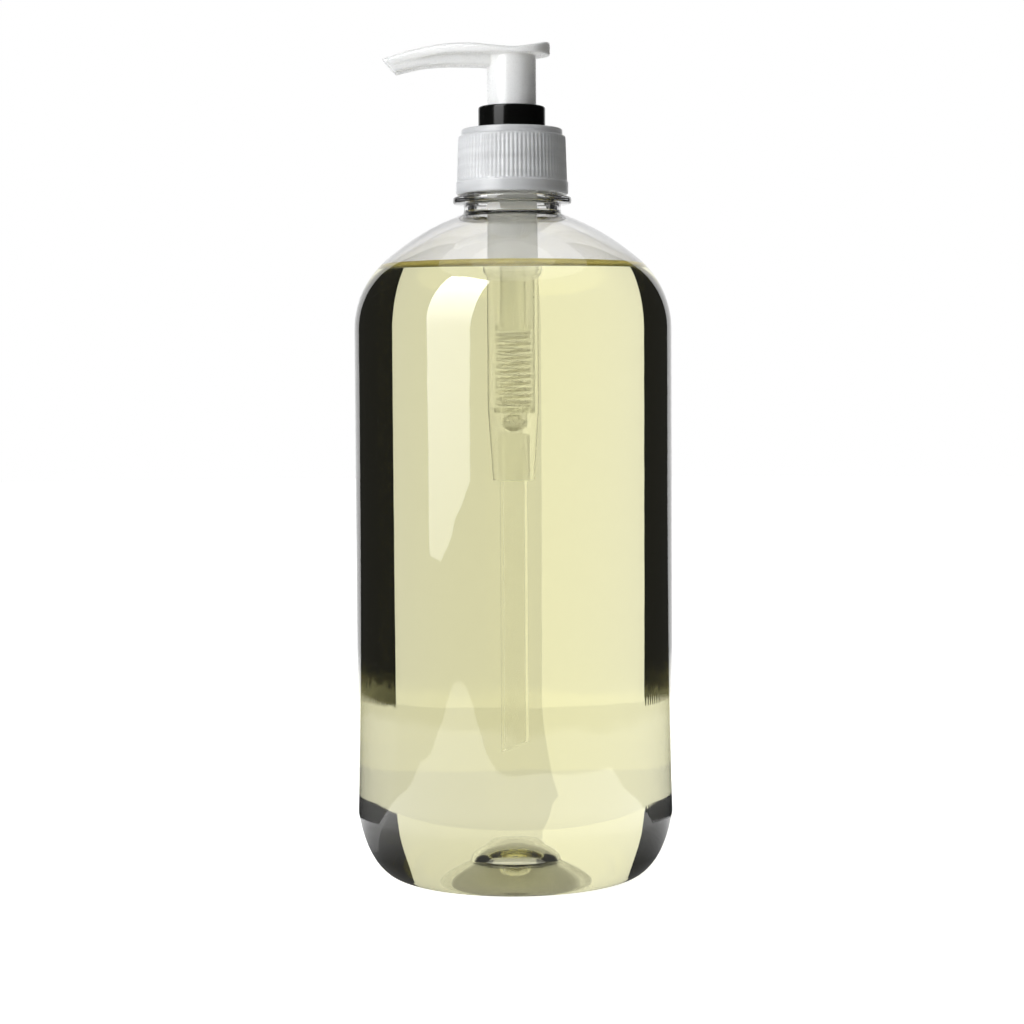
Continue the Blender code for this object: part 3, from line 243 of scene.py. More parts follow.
class StudioSettings(PropertyGroup):
    """Camera, lamps and cards."""
    focal_length: number("Focal length", "Lens in millimetres", 82.6)
    distance: length("Distance", "From the lens to the bottle's axis", 0.670)
    eye_height: length("Eye height", "Height of the lens over the floor", 0.1386)
    side_step: length("Side step", "Lens to the left of the axis", 0.00056)
    tilt: angle("Tilt", "Downward tilt of the lens", 3.0)
    roll: angle("Roll", "Roll of the camera, clockwise", 0.32)
    softbox_turn: angle("Softbox turn", "Place of the softbox, to the left of the lens", 46)
    key_power: number("Key power", "Power of the softbox in watts", 9.8)
    key_radiance: number("Key radiance", "Brightness of the softbox in gloss", 4.8)
    fill_left: number("Left fill", "Soft light from the left", 0.28)
    fill_right: number("Right fill", "Soft light from the right", 0.04)
    fill_behind: number("Back fill", "Soft light added from behind", 4.0)
    inner_light: number("Inner light", "Light added inside the bottle", 3.0)
    bright_side: number("Bright side", "Backdrop seen through the gel, left", 1.21)
    upper_side: number("Upper side", "Backdrop seen through the headspace", 0.94)
    dim_side: number("Dim side", "Backdrop seen through the gel, right", 0.97)


class PumpBottleSettings(PropertyGroup):
    """All settings of the pump bottle."""
    bottle: PointerProperty(type=BottleShape)
    closure: PointerProperty(type=ClosureShape)
    pump: PointerProperty(type=PumpShape)
    actuator: PointerProperty(type=ActuatorShape)
    colours: PointerProperty(type=FinishColours)
    studio: PointerProperty(type=StudioSettings)


# Nodes

def add_node(tree, kind, inputs=None, **settings):
    """Add a node, set its attributes, and give each input a value, or a link from a socket or a node."""
    node = tree.nodes.new(kind)
    for name, value in settings.items():
        setattr(node, name, value)
    for name, value in (inputs or {}).items():
        source = value.outputs[0] if isinstance(value, bpy.types.Node) else value
        if isinstance(source, bpy.types.NodeSocket):
            tree.links.new(source, node.inputs[name])
        else:
            node.inputs[name].default_value = source
    return node


def new_material(name):
    """An empty node material and its tree."""
    material = bpy.data.materials.new(name)
    material.use_nodes = True
    material.node_tree.nodes.clear()
    return material, material.node_tree


def grain(tree, size, detail=2.0, stretch=(1.0, 1.0, 1.0)):
    """Noise with a grain of the given size in metres, on Object coordinates, finer where stretched."""
    place = add_node(tree, "ShaderNodeTexCoord").outputs["Object"]
    drawn = add_node(tree, VECTOR_MATH, {0: place, 1: stretch}, operation="MULTIPLY").outputs["Vector"]
    return add_node(tree, "ShaderNodeTexNoise", {"Vector": drawn, "Scale": 1.0 / size, "Detail": detail})


def clear_pet(colours):
    """Blown PET: glass-clear and glossy, with the slow waves that blowing leaves in the wall."""
    material, tree = new_material("clear blown PET")
    waves = grain(tree, 14 * MILLIMETRE, 1.0).outputs["Fac"]
    bump = add_node(tree, "ShaderNodeBump", {"Height": waves, "Strength": 0.12, "Distance": 0.4 * MILLIMETRE})
    shader = add_node(tree, "ShaderNodeBsdfPrincipled", {
        "Base Color": (*colours.pet, 1.0), "Roughness": 0.015, "IOR": 1.57,
        "Transmission Weight": 1.0, "Normal": bump})
    add_node(tree, "ShaderNodeOutputMaterial", {"Surface": shader})
    return material


def sanitizer_gel(name, surface, depth, roughness, clarity):
    """Alcohol gel: clear, with a pale yellow that deepens with the thickness looked through."""
    material, tree = new_material(name)
    shader = add_node(tree, "ShaderNodeBsdfPrincipled", {
        "Base Color": surface, "Roughness": roughness, "IOR": 1.36, "Transmission Weight": clarity})
    tint = add_node(tree, "ShaderNodeVolumeAbsorption", {"Color": (*depth, 1.0), "Density": 8.0})
    add_node(tree, "ShaderNodeOutputMaterial", {"Surface": shader, "Volume": tint})
    return material


def moulded_plastic(name, tint, roughness, translucency=0.0, clarity=0.0, ior=1.49, mottle=0.03,
                    gloss_level=0.5, stretch=(1.0, 1.0, 1.0)):
    """Injection-moulded plastic: satin, faintly mottled, with the mould's fine texture in its gloss."""
    material, tree = new_material(name)
    cloud = grain(tree, 5 * MILLIMETRE, stretch=stretch).outputs["Fac"]
    lighter = tuple(min(value * (1 + mottle), 1.0) for value in tint)
    darker = tuple(value * (1 - mottle) for value in tint)
    shade = add_node(tree, "ShaderNodeMix", {
        0: cloud, 6: (*darker, 1.0), 7: (*lighter, 1.0)}, data_type="RGBA")
    fine = grain(tree, 0.35 * MILLIMETRE, 1.0).outputs["Fac"]
    gloss = add_node(tree, "ShaderNodeMapRange", {
        "Value": fine, "To Min": roughness * 0.85, "To Max": roughness * 1.15})
    bump = add_node(tree, "ShaderNodeBump", {"Height": fine, "Strength": 0.06, "Distance": 0.05 * MILLIMETRE})
    shader = add_node(tree, "ShaderNodeBsdfPrincipled", {
        "Base Color": shade.outputs[2], "Roughness": gloss, "IOR": ior, "Specular IOR Level": gloss_level,
        "Transmission Weight": clarity, "Subsurface Weight": translucency,
        "Subsurface Radius": (1.0, 0.98, 0.95), "Subsurface Scale": 1.5 * MILLIMETRE, "Normal": bump})
    add_node(tree, "ShaderNodeOutputMaterial", {"Surface": shader})
    return material


def stainless_steel(name, tint, roughness):
    """Stainless steel: drawn or polished, with fine streaks in its gloss.

    Its metallic value is far below a bare metal's. It was set to keep the coils as pale as
    the photograph shows them through the wall.
    """
    material, tree = new_material(name)
    streaks = grain(tree, 0.25 * MILLIMETRE).outputs["Fac"]
    gloss = add_node(tree, "ShaderNodeMapRange", {
        "Value": streaks, "To Min": roughness * 0.7, "To Max": roughness * 1.3})
    # The tint is the steel's own; the large diffuse share that the low metallic leaves is painted highlight
    # for its glints
    shader = add_node(tree, "ShaderNodeBsdfPrincipled", {
        "Base Color": (*tint, 1.0), "Metallic": 0.25, "Roughness": gloss})
    add_node(tree, "ShaderNodeOutputMaterial", {"Surface": shader})
    return material


def foamed_pe(tint):
    """Foamed polyethylene: matt, with the open pits of a cut foam sheet."""
    material, tree = new_material("foamed and cut polyethylene sheet")
    cells = grain(tree, 0.4 * MILLIMETRE, 3.0).outputs["Fac"]
    bump = add_node(tree, "ShaderNodeBump", {"Height": cells, "Strength": 0.4, "Distance": 0.1 * MILLIMETRE})
    # The pits are drawn darker: painted shade in the foam's hollows
    shade = add_node(tree, "ShaderNodeMix", {
        0: cells, 6: (*[value * 0.85 for value in tint], 1.0), 7: (*tint, 1.0)}, data_type="RGBA")
    shader = add_node(tree, "ShaderNodeBsdfPrincipled", {
        "Base Color": shade.outputs[2], "Roughness": 0.85, "Normal": bump})
    add_node(tree, "ShaderNodeOutputMaterial", {"Surface": shader})
    return material


# Geometry helpers

def arc(centre, radius, start, end, steps):
    """Points along an arc in the (radius, height) plane."""
    points = []
    for step in range(steps + 1):
        turn = start + (end - start) * step / steps
        points.append((centre[0] + radius * math.cos(turn), centre[1] + radius * math.sin(turn)))
    return points


def cubic(start, start_handle, end_handle, end, steps):
    """Points along a cubic curve with two handles."""
    points = []
    for step in range(steps + 1):
        t = step / steps
        weights = ((1 - t) ** 3, 3 * t * (1 - t) ** 2, 3 * t * t * (1 - t), t ** 3)
        corners = (start, start_handle, end_handle, end)
        points.append(tuple(sum(w * c[axis] for w, c in zip(weights, corners)) for axis in (0, 1)))
    return points


def offset(profile, distance):
    """Move an open profile sideways, to the right of its run, with mitred corners."""
    points = [Vector(point) for point in profile]
    moved = []
    for index, point in enumerate(points):
        runs = []
        if index > 0:
            runs.append((point - points[index - 1]).normalized())
        if index < len(points) - 1:
            runs.append((points[index + 1] - point).normalized())
        sides = [Vector((run.y, -run.x)) for run in runs]
        middle = (sides[0] + sides[-1]).normalized()
        shifted = point + middle * distance / middle.dot(sides[0])
        moved.append((0.0 if point.x == 0.0 else shifted.x, shifted.y))
    return moved


def filleted(corners, closed=False, steps=4):
    """Round each (radius, height, fillet) corner of a run, and return plain points."""
    points = []
    count = len(corners)
    for index, corner in enumerate(corners):
        here = Vector(corner[:2])
        fillet = corner[2] if len(corner) > 2 else 0.0
        inner = 0 < index < count - 1
        if fillet == 0.0 or not (inner or closed):
            points.append(tuple(here))
            continue
        before = Vector(corners[index - 1][:2]) - here
        after = Vector(corners[(index + 1) % count][:2]) - here
        half = before.angle(after) / 2
        reach = min(fillet / math.tan(half), 0.48 * before.length, 0.48 * after.length)
        start = here + before.normalized() * reach
        end = here + after.normalized() * reach
        for step in range(steps + 1):
            t = step / steps
            point = start * (1 - t) ** 2 + here * 2 * t * (1 - t) + end * t * t
            points.append(tuple(point))
    return points


def densified(points, longest):
    """Split the runs between points so that none is longer than the given length."""
    dense = [points[0]]
    for start, end in zip(points, points[1:]):
        count = max(1, math.ceil((Vector(end) - Vector(start)).length / longest))
        for step in range(1, count + 1):
            t = step / count
            dense.append((start[0] + (end[0] - start[0]) * t, start[1] + (end[1] - start[1]) * t))
    return dense


def new_object(name, mesh):
    """A new object in the scene's collection."""
    item = bpy.data.objects.new(name, mesh)
    bpy.context.scene.collection.objects.link(item)
    return item


def mesh_from(name, build):
    """A smooth-shaded mesh from a bmesh, merged and with its faces pointing out."""
    bmesh.ops.remove_doubles(build, verts=build.verts, dist=MERGE_DISTANCE)
    bmesh.ops.recalc_face_normals(build, faces=build.faces)
    mesh = bpy.data.meshes.new(name)
    build.to_mesh(mesh)
    build.free()
    mesh.shade_smooth()
    mesh.set_sharp_from_angle(angle=SHARP_ANGLE)
    return mesh


def lathe(name, profile, segments, closed=False):
    """Turn a run of (radius, height) points about the Z axis."""
    build = bmesh.new()
    rings = []
    for radius, height in profile:
        if radius == 0.0:
            rings.append([build.verts.new((0.0, 0.0, height))] * segments)
            continue
        turns = [2 * math.pi * step / segments for step in range(segments)]
        rings.append([build.verts.new((radius * math.cos(turn), radius * math.sin(turn), height))
                      for turn in turns])
    pairs = list(zip(rings, rings[1:]))
    if closed:
        pairs.append((rings[-1], rings[0]))
    for ring, following in pairs:
        for index in range(segments):
            after = (index + 1) % segments
            corners = []
            for corner in (ring[index], ring[after], following[after], following[index]):
                if corner not in corners:
                    corners.append(corner)
            build.faces.new(corners)
    return new_object(name, mesh_from(name, build))


def settle(item):
    """Work an object's modifiers into its mesh, and remove them."""
    bpy.context.view_layer.update()
    graph = bpy.context.evaluated_depsgraph_get()
    mesh = bpy.data.meshes.new_from_object(item.evaluated_get(graph))
    item.modifiers.clear()
    old = item.data
    item.data = mesh
    if old.users == 0:
        bpy.data.meshes.remove(old)
    mesh.name = item.name
    return item


def set_inputs(modifier, values):
    """Set a Geometry Nodes modifier's inputs by their socket identifiers."""
    for entry in modifier.node_group.interface.items_tree:
        if entry.item_type == "SOCKET" and entry.in_out == "INPUT" and entry.name in values:
            modifier[entry.identifier] = values[entry.name]


def geometry_tree(name, inputs):
    """A Geometry Nodes tree with the named inputs, and its input and output nodes."""
    tree = bpy.data.node_groups.new(name, "GeometryNodeTree")
    for label, kind in inputs.items():
        tree.interface.new_socket(label, in_out="INPUT", socket_type="NodeSocket" + kind)
    tree.interface.new_socket("Geometry", in_out="OUTPUT", socket_type="NodeSocketGeometry")
    return tree, tree.nodes.new("NodeGroupInput").outputs, tree.nodes.new("NodeGroupOutput")


def dress(item, body, slot, *materials, nodes=()):
    """Give a piece its materials and its body, and hide the nodes that it stands for. Its slot is not used.
    """
    for material in materials:
        item.data.materials.append(material)
    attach(item, body)
    for node in nodes:
        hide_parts(node)
    return item


# Relief on turned pieces, and the spring

def finish_tree(tree, made, given, result):
    """End a tree with real geometry that carries its material."""
    real = add_node(tree, "GeometryNodeRealizeInstances", {0: made})
    final = add_node(tree, "GeometryNodeSetMaterial", {"Geometry": real, "Material": given["Material"]})
    tree.links.new(final.outputs[0], result.inputs[0])


def shift_outward(tree, given, result, flat, distance):
    """Move every point away from the axis by a distance, and end the tree."""
    away = add_node(tree, VECTOR_MATH, {0: flat}, operation="NORMALIZE")
    shift = add_node(tree, VECTOR_MATH, {0: away, "Scale": distance}, operation="SCALE")
    moved = add_node(tree, "GeometryNodeSetPosition", {"Geometry": given["Geometry"], "Offset": shift})
    finish_tree(tree, moved, given, result)


def around_axis(tree):
    """Each point's height, its way out from the axis, its radius and its angle around the axis."""
    position = add_node(tree, "GeometryNodeInputPosition")
    parts = add_node(tree, "ShaderNodeSeparateXYZ", {0: position}).outputs
    flat = add_node(tree, "ShaderNodeCombineXYZ", {"X": parts["X"], "Y": parts["Y"]})
    radius = add_node(tree, VECTOR_MATH, {0: flat}, operation="LENGTH").outputs["Value"]
    turn = add_node(tree, MATH, {0: parts["Y"], 1: parts["X"]}, operation="ARCTAN2")
    return parts["Z"], flat, radius, turn


def rib_tree():
    """Grooves around a turned band, pressed inwards between a foot and a top height."""
    tree, given, result = geometry_tree("Rib relief", {
        "Geometry": "Geometry", "Count": "Int", "Depth": "Float", "Foot": "Float", "Top": "Float",
        "Least Radius": "Float", "Fade": "Float", "Material": "Material"})
    height, flat, radius, turn = around_axis(tree)
    # The grooves follow the angle around the axis, and are a little narrower than the crests
    phase = add_node(tree, MATH, {0: turn, 1: given["Count"]}, operation="MULTIPLY")
    wave = add_node(tree, MATH, {0: phase}, operation="COSINE")
    valley = add_node(tree, MATH, {0: wave, 1: -0.5, 2: 0.5}, operation="MULTIPLY_ADD")
    shaped = add_node(tree, MATH, {0: valley, 1: 1.4}, operation="POWER")
    # They fade out at both ends of the band, and leave the bore alone
    over_foot = add_node(tree, MATH, {0: height, 1: given["Foot"]}, operation="SUBTRACT")
    under_top = add_node(tree, MATH, {0: given["Top"], 1: height}, operation="SUBTRACT")
    nearest = add_node(tree, MATH, {0: over_foot, 1: under_top}, operation="MINIMUM")
    band = add_node(tree, MATH, {0: nearest, 1: given["Fade"]}, operation="DIVIDE", use_clamp=True)
    outside = add_node(tree, MATH, {0: radius, 1: given["Least Radius"]}, operation="GREATER_THAN")
    along = add_node(tree, MATH, {0: shaped, 1: band}, operation="MULTIPLY")
    amount = add_node(tree, MATH, {0: along, 1: outside}, operation="MULTIPLY")
    depth = add_node(tree, MATH, {0: amount, 1: given["Depth"]}, operation="MULTIPLY")
    inward = add_node(tree, MATH, {0: depth, 1: -1.0}, operation="MULTIPLY")
    shift_outward(tree, given, result, flat, inward)
    return tree


def thread_tree():
    """A right-hand thread on a turned wall, raised along a helix that fades in and out."""
    tree, given, result = geometry_tree("Thread relief", {
        "Geometry": "Geometry", "Pitch": "Float", "Height": "Float", "Top": "Float", "Turns": "Float",
        "Least Radius": "Float", "Most Radius": "Float", "Material": "Material"})
    height, flat, radius, radians = around_axis(tree)
    # Turns climbed at this height, and the nearest strand of the helix
    turn = add_node(tree, MATH, {0: radians, 1: 2 * math.pi}, operation="DIVIDE")
    reach = add_node(tree, MATH, {0: given["Turns"], 1: given["Pitch"]}, operation="MULTIPLY")
    foot = add_node(tree, MATH, {0: given["Top"], 1: reach}, operation="SUBTRACT")
    over_foot = add_node(tree, MATH, {0: height, 1: foot}, operation="SUBTRACT")
    rise = add_node(tree, MATH, {0: over_foot, 1: given["Pitch"]}, operation="DIVIDE")
    strands = add_node(tree, MATH, {0: rise, 1: turn}, operation="SUBTRACT")
    strand = add_node(tree, MATH, {0: strands}, operation="ROUND")
    along = add_node(tree, MATH, {0: strand, 1: turn}, operation="ADD")
    # The ridge is as wide on each side as it is high, with a flat crest
    turns_off = add_node(tree, MATH, {0: rise, 1: along}, operation="SUBTRACT")
    miss = add_node(tree, MATH, {0: turns_off, 1: given["Pitch"]}, operation="MULTIPLY")
    share = add_node(tree, MATH, {0: miss, 1: given["Height"]}, operation="DIVIDE")
    side = add_node(tree, MATH, {0: share}, operation="ABSOLUTE")
    ridge = add_node(tree, MATH, {0: 1.0, 1: side}, operation="SUBTRACT", use_clamp=True)
    crest = add_node(tree, MATH, {0: ridge, 1: 1.25}, operation="MULTIPLY", use_clamp=True)
    # Each end fades out over a sixth of a turn
    left = add_node(tree, MATH, {0: given["Turns"], 1: along}, operation="SUBTRACT")
    end = add_node(tree, MATH, {0: along, 1: left}, operation="MINIMUM")
    ends = add_node(tree, MATH, {0: end, 1: 6.0}, operation="MULTIPLY", use_clamp=True)
    outside = add_node(tree, MATH, {0: radius, 1: given["Least Radius"]}, operation="GREATER_THAN")
    inside = add_node(tree, MATH, {0: radius, 1: given["Most Radius"]}, operation="LESS_THAN")
    within = add_node(tree, MATH, {0: outside, 1: inside}, operation="MULTIPLY")
    faded = add_node(tree, MATH, {0: crest, 1: ends}, operation="MULTIPLY")
    amount = add_node(tree, MATH, {0: faded, 1: within}, operation="MULTIPLY")
    raised = add_node(tree, MATH, {0: amount, 1: given["Height"]}, operation="MULTIPLY")
    shift_outward(tree, given, result, flat, raised)
    return tree


def coil_tree():
    """A compression spring along Z, whose end coils lie closed."""
    tree, given, result = geometry_tree("Spring coils", {
        "Coils": "Float", "Radius": "Float", "Wire Radius": "Float", "Length": "Float", "Foot": "Float",
        "Closed Share": "Float", "Material": "Material"})
    spiral = add_node(tree, "GeometryNodeCurveSpiral", {
        "Resolution": 40, "Rotations": given["Coils"], "Start Radius": given["Radius"],
        "End Radius": given["Radius"], "Height": 0.0})
    along = add_node(tree, "GeometryNodeSplineParameter").outputs["Factor"]
    # One coil at each end climbs only by its closed share of an open coil
    end_share = add_node(tree, MATH, {0: 1.0, 1: given["Coils"]}, operation="DIVIDE")
    upper_start = add_node(tree, MATH, {0: 1.0, 1: end_share}, operation="SUBTRACT")
    lower = add_node(tree, MATH, {0: along, 1: end_share}, operation="MINIMUM")
    past_start = add_node(tree, MATH, {0: along, 1: upper_start}, operation="SUBTRACT")
    upper = add_node(tree, MATH, {0: past_start, 1: 0.0}, operation="MAXIMUM")
    closed = add_node(tree, MATH, {0: lower, 1: upper}, operation="ADD")
    opened = add_node(tree, MATH, {0: along, 1: closed}, operation="SUBTRACT")
    climb = add_node(tree, MATH, {0: closed, 1: given["Closed Share"], 2: opened}, operation="MULTIPLY_ADD")
    both_ends = add_node(tree, MATH, {0: 2.0, 1: end_share}, operation="MULTIPLY")
    open_share = add_node(tree, MATH, {0: 1.0, 1: both_ends}, operation="SUBTRACT")
    full_climb = add_node(tree, MATH, {
        0: both_ends, 1: given["Closed Share"], 2: open_share}, operation="MULTIPLY_ADD")
    share = add_node(tree, MATH, {0: climb, 1: full_climb}, operation="DIVIDE")
    wire = add_node(tree, MATH, {0: 2.0, 1: given["Wire Radius"]}, operation="MULTIPLY")
    travel = add_node(tree, MATH, {0: given["Length"], 1: wire}, operation="SUBTRACT")
    height = add_node(tree, MATH, {0: share, 1: travel, 2: given["Foot"]}, operation="MULTIPLY_ADD")
    level = add_node(tree, MATH, {0: height, 1: given["Wire Radius"]}, operation="ADD")
    lift = add_node(tree, "ShaderNodeCombineXYZ", {"Z": level})
    raised = add_node(tree, "GeometryNodeSetPosition", {"Geometry": spiral, "Offset": lift})
    ring = add_node(tree, "GeometryNodeCurvePrimitiveCircle", {
        "Resolution": 12, "Radius": given["Wire Radius"]})
    drawn = add_node(tree, "GeometryNodeCurveToMesh", {
        "Curve": raised, "Profile Curve": ring, "Fill Caps": True})
    smooth = add_node(tree, "GeometryNodeSetShadeSmooth", {"Geometry": drawn})
    finish_tree(tree, smooth, given, result)
    return tree


def apply_tree(item, tree, values):
    """Run a Geometry Nodes tree on an object and keep the result as its mesh."""
    modifier = item.modifiers.new(tree.name, "NODES")
    modifier.node_group = tree
    set_inputs(modifier, values)
    settle(item)
    item.data.shade_smooth()
    item.data.set_sharp_from_angle(angle=SHARP_ANGLE)
    return item


# Bottle and liquid

def crown_centre(shape):
    """Centre of the upper shoulder's arc."""
    lower = Vector((BODY_RADIUS - shape.shoulder_radius, shape.side_top))
    outward = Vector((math.cos(shape.shoulder_sweep), math.sin(shape.shoulder_sweep)))
    return lower - (shape.crown_radius - shape.shoulder_radius) * outward


def neck_foot(shape):
    """Height where the upper shoulder meets the neck's waist."""
    centre = crown_centre(shape)
    return centre.y + math.sqrt(shape.crown_radius ** 2 - (shape.neck_waist - centre.x) ** 2)


def shoulder_points(shape, inset, end_radius):
    """The shoulder, inset from the outer surface, from a radius at the neck down to the side."""
    centre = crown_centre(shape)
    radius = shape.crown_radius - inset
    start = math.acos((end_radius - centre.x) / radius)
    crown = arc(centre, radius, start, shape.shoulder_sweep, 18)
    lower = arc((BODY_RADIUS - shape.shoulder_radius, shape.side_top), shape.shoulder_radius - inset,
                shape.shoulder_sweep, 0.0, 18)
    return crown + lower[1:]


def underside_points(shape):
    """The outer surface from the start of the base corner to the middle of the push-up."""
    slope = shape.corner_slope
    upper_handle = (BODY_RADIUS - shape.corner_upper * math.sin(slope),
                    shape.corner_height - shape.corner_upper * math.cos(slope))
    lower_handle = (shape.ring_radius + shape.corner_lower, 0.0)
    corner = cubic(
        (BODY_RADIUS, shape.corner_height), upper_handle, lower_handle, (shape.ring_radius, 0.0), 22)
    foot = shape.dome_foot
    quarter = arc((0.0, foot), 1.0, 0.0, math.pi / 2, 10)
    dome = [(x * shape.dome_radius, foot + (z - foot) * shape.dome_rise) for x, z in quarter]
    dome[-1] = (0.0, dome[-1][1])
    push_up = filleted([
        (shape.ring_radius, 0.0), (shape.ring_radius - shape.ring_width, 0.0, 0.0016),
        (shape.crease_radius, shape.crease_height, 0.0014), (*dome[0], 0.0012), dome[2]], steps=6)
    return corner + push_up[1:-1] + dome[2:]


def build_bottle(shape, colours):
    """The bottle: one skin outside and one inside, joined at the neck's land."""
    foot = neck_foot(shape)
    ring_bottom = foot + shape.neck_waist_height
    ring_top = ring_bottom + shape.ring_thickness
    thread_foot = ring_top + 0.0006
    finish = densified(filleted([
        (shape.neck_bore, ring_top), (shape.neck_bore, NECK_LAND, 0.0004),
        (shape.neck_root, NECK_LAND, 0.0005), (shape.neck_root, thread_foot)]), THREAD_STEP)
    shoulder = shoulder_points(shape, 0.0, shape.neck_waist + 0.003)
    neck = filleted([
        (shape.neck_root, thread_foot), (shape.neck_root, ring_top, 0.0003),
        (shape.support_radius, ring_top, 0.0006), (shape.support_radius, ring_bottom, 0.0006),
        (shape.neck_waist, ring_bottom, 0.0005), (shape.neck_waist, foot, 0.0014), shoulder[0]])
    base = underside_points(shape)
    side = densified([shoulder[-1], base[0]], SIDE_STEP)
    outer = finish + neck[1:] + shoulder[1:] + side[1:] + base[1:]
    base_inside = offset([shoulder[-1]] + base, shape.wall)
    inner_shoulder = shoulder_points(shape, shape.wall, shape.neck_bore)
    inner_side = densified([inner_shoulder[-1], base_inside[1]], SIDE_STEP)
    inner = inner_shoulder + inner_side[1:] + base_inside[2:]
    bottle = lathe("bottle_blown", inner[::-1] + outer, shape.segments)
    material = clear_pet(colours)
    apply_tree(bottle, thread_tree(), {
        "Pitch": shape.thread_pitch, "Height": shape.thread_depth, "Turns": shape.thread_turns,
        "Top": NECK_LAND - shape.thread_start, "Least Radius": (shape.neck_bore + shape.neck_root) / 2,
        "Most Radius": shape.neck_root + RELIEF_MARGIN, "Material": material})
    bottle.data.materials.clear()
    return dress(bottle, "bottle", "clear_pet", material, nodes=["bottle"])


def gel_level(shape):
    """Height of the gel's open surface, below its edge on the wall."""
    return LIQUID[1].z - shape.meniscus


def build_liquid(shape, colours):
    """The gel, which wets the bottle's wall and closes around the pump."""
    # The gel's skin lies inside the wall, so light passes from PET to gel without air between
    wet = shape.wall - 0.00015
    level = gel_level(shape)
    shoulder = shoulder_points(shape, wet, shape.neck_waist)
    wall_side = [point for point in shoulder if point[1] < LIQUID[1].z]
    contact, following = Vector(wall_side[0]), Vector(wall_side[1])
    along_wall = (following - contact).normalized() * 0.8 * shape.meniscus
    end_handle = contact + along_wall - Vector((0.0003, 0.0))
    surface = [(0.0, level)] + cubic(
        (contact.x - 2.2 * shape.meniscus, level), (contact.x, level), end_handle, contact, 14)
    base = offset([(BODY_RADIUS, shape.side_top)] + underside_points(shape), wet)
    side = densified([wall_side[-1], base[1]], SIDE_STEP)
    profile = surface + wall_side[1:] + side[1:] + base[2:]
    liquid = lathe("sanitizer_gel", profile, shape.segments)
    gel = sanitizer_gel("sanitizer gel", WHITE, colours.gel, 0.0, 1.0)
    # The climbing film is the gel's yellow, deepened and half clear: painted shade of the meniscus's dark
    # band
    film = sanitizer_gel("sanitizer gel edge with painted shade", (*colours.gel_edge, 1.0), colours.gel, 0.15, 0.5)
    dress(liquid, "bottle", "sanitizer", gel, film, nodes=["sanitizer_liquid"])
    for face in liquid.data.polygons:
        inward = face.normal.xy.dot(face.center.xy) < 0.0
        climbing = face.center.z > level + 0.00002
        face.material_index = 1 if inward and climbing else 0
    return liquid


# Closure and collar

def build_closure(shape, bottle, colours):
    """The closure: a turned body whose band is grooved between its ribs."""
    foot = CLOSURE[0].z
    top = CLOSURE_TOP
    band_foot = foot + shape.bead_height
    band_top = top - shape.top_height
    ceiling = top - shape.top_thickness
    hole = COLLAR[1].x - 0.0007
    bore = bottle.neck_root + bottle.thread_depth + SEAT_GAP
    bead_radius = CLOSURE[1].x
    profile = filleted([
        (hole, top, 0.0003), (shape.top_radius, top, 0.0006), (shape.top_radius, band_top + 0.0003, 0.0003),
        (shape.band_top, band_top, 0.0006), (shape.band_foot, band_foot + 0.0002, 0.0002),
        (bead_radius, band_foot, 0.0004), (bead_radius, foot, 0.0007), (bore + 0.0006, foot, 0.0003),
        (bore, foot + 0.0007, 0.0003), (bore, ceiling, 0.0005), (hole, ceiling, 0.0002)], closed=True)
    steps_per_rib = 6
    steps = shape.rib_count * steps_per_rib
    closure = lathe("closure_ribbed", densified(profile, RIB_STEP), steps, closed=True)
    material = moulded_plastic("moulded natural polypropylene of the closure", colours.closure, 0.32,
                               translucency=0.7, mottle=0.22, stretch=(0.25, 0.25, 2.2))
    apply_tree(closure, rib_tree(), {
        "Count": shape.rib_count, "Depth": shape.rib_depth, "Foot": band_foot + 0.0003,
        "Top": band_top - 0.0002, "Least Radius": bore + 0.0008, "Fade": 0.0005, "Material": material})
    shorter = (bottle.thread_turns - shape.thread_turns) * bottle.thread_pitch
    apply_tree(closure, thread_tree(), {
        "Pitch": bottle.thread_pitch, "Height": -bottle.thread_depth, "Turns": shape.thread_turns,
        "Top": NECK_LAND - bottle.thread_start - shape.thread_drop - shorter,
        "Least Radius": bore - RELIEF_MARGIN, "Most Radius": bore + RELIEF_MARGIN, "Material": material})
    closure.data.materials.clear()
    return dress(closure, "closure", "closure_pp", material, nodes=["closure"])


def build_collar(shape, pump, actuator, colours):
    """The glossy black collar around the housing's mouth."""
    low, high = COLLAR
    bore = pump.mouth_radius + pump.gap
    throat = actuator.skirt_radius + pump.gap
    ledge = HOUSING[1].z + pump.gap
    profile = filleted([
        (throat, high.z, 0.0003), (high.x, high.z, shape.collar_round), (high.x, low.z, 0.0003),
        (bore, low.z, 0.0002), (bore, ledge, 0.0002), (throat, ledge, 0.0002)], closed=True, steps=6)
    collar = lathe("collar_black", profile, 96, closed=True)
    material = moulded_plastic("moulded glossy black polypropylene", colours.collar, 0.14, mottle=0.2,
                               gloss_level=0.2)
    return dress(collar, "pump_unit", "collar_black", material, nodes=["locking_collar"])


# Pump

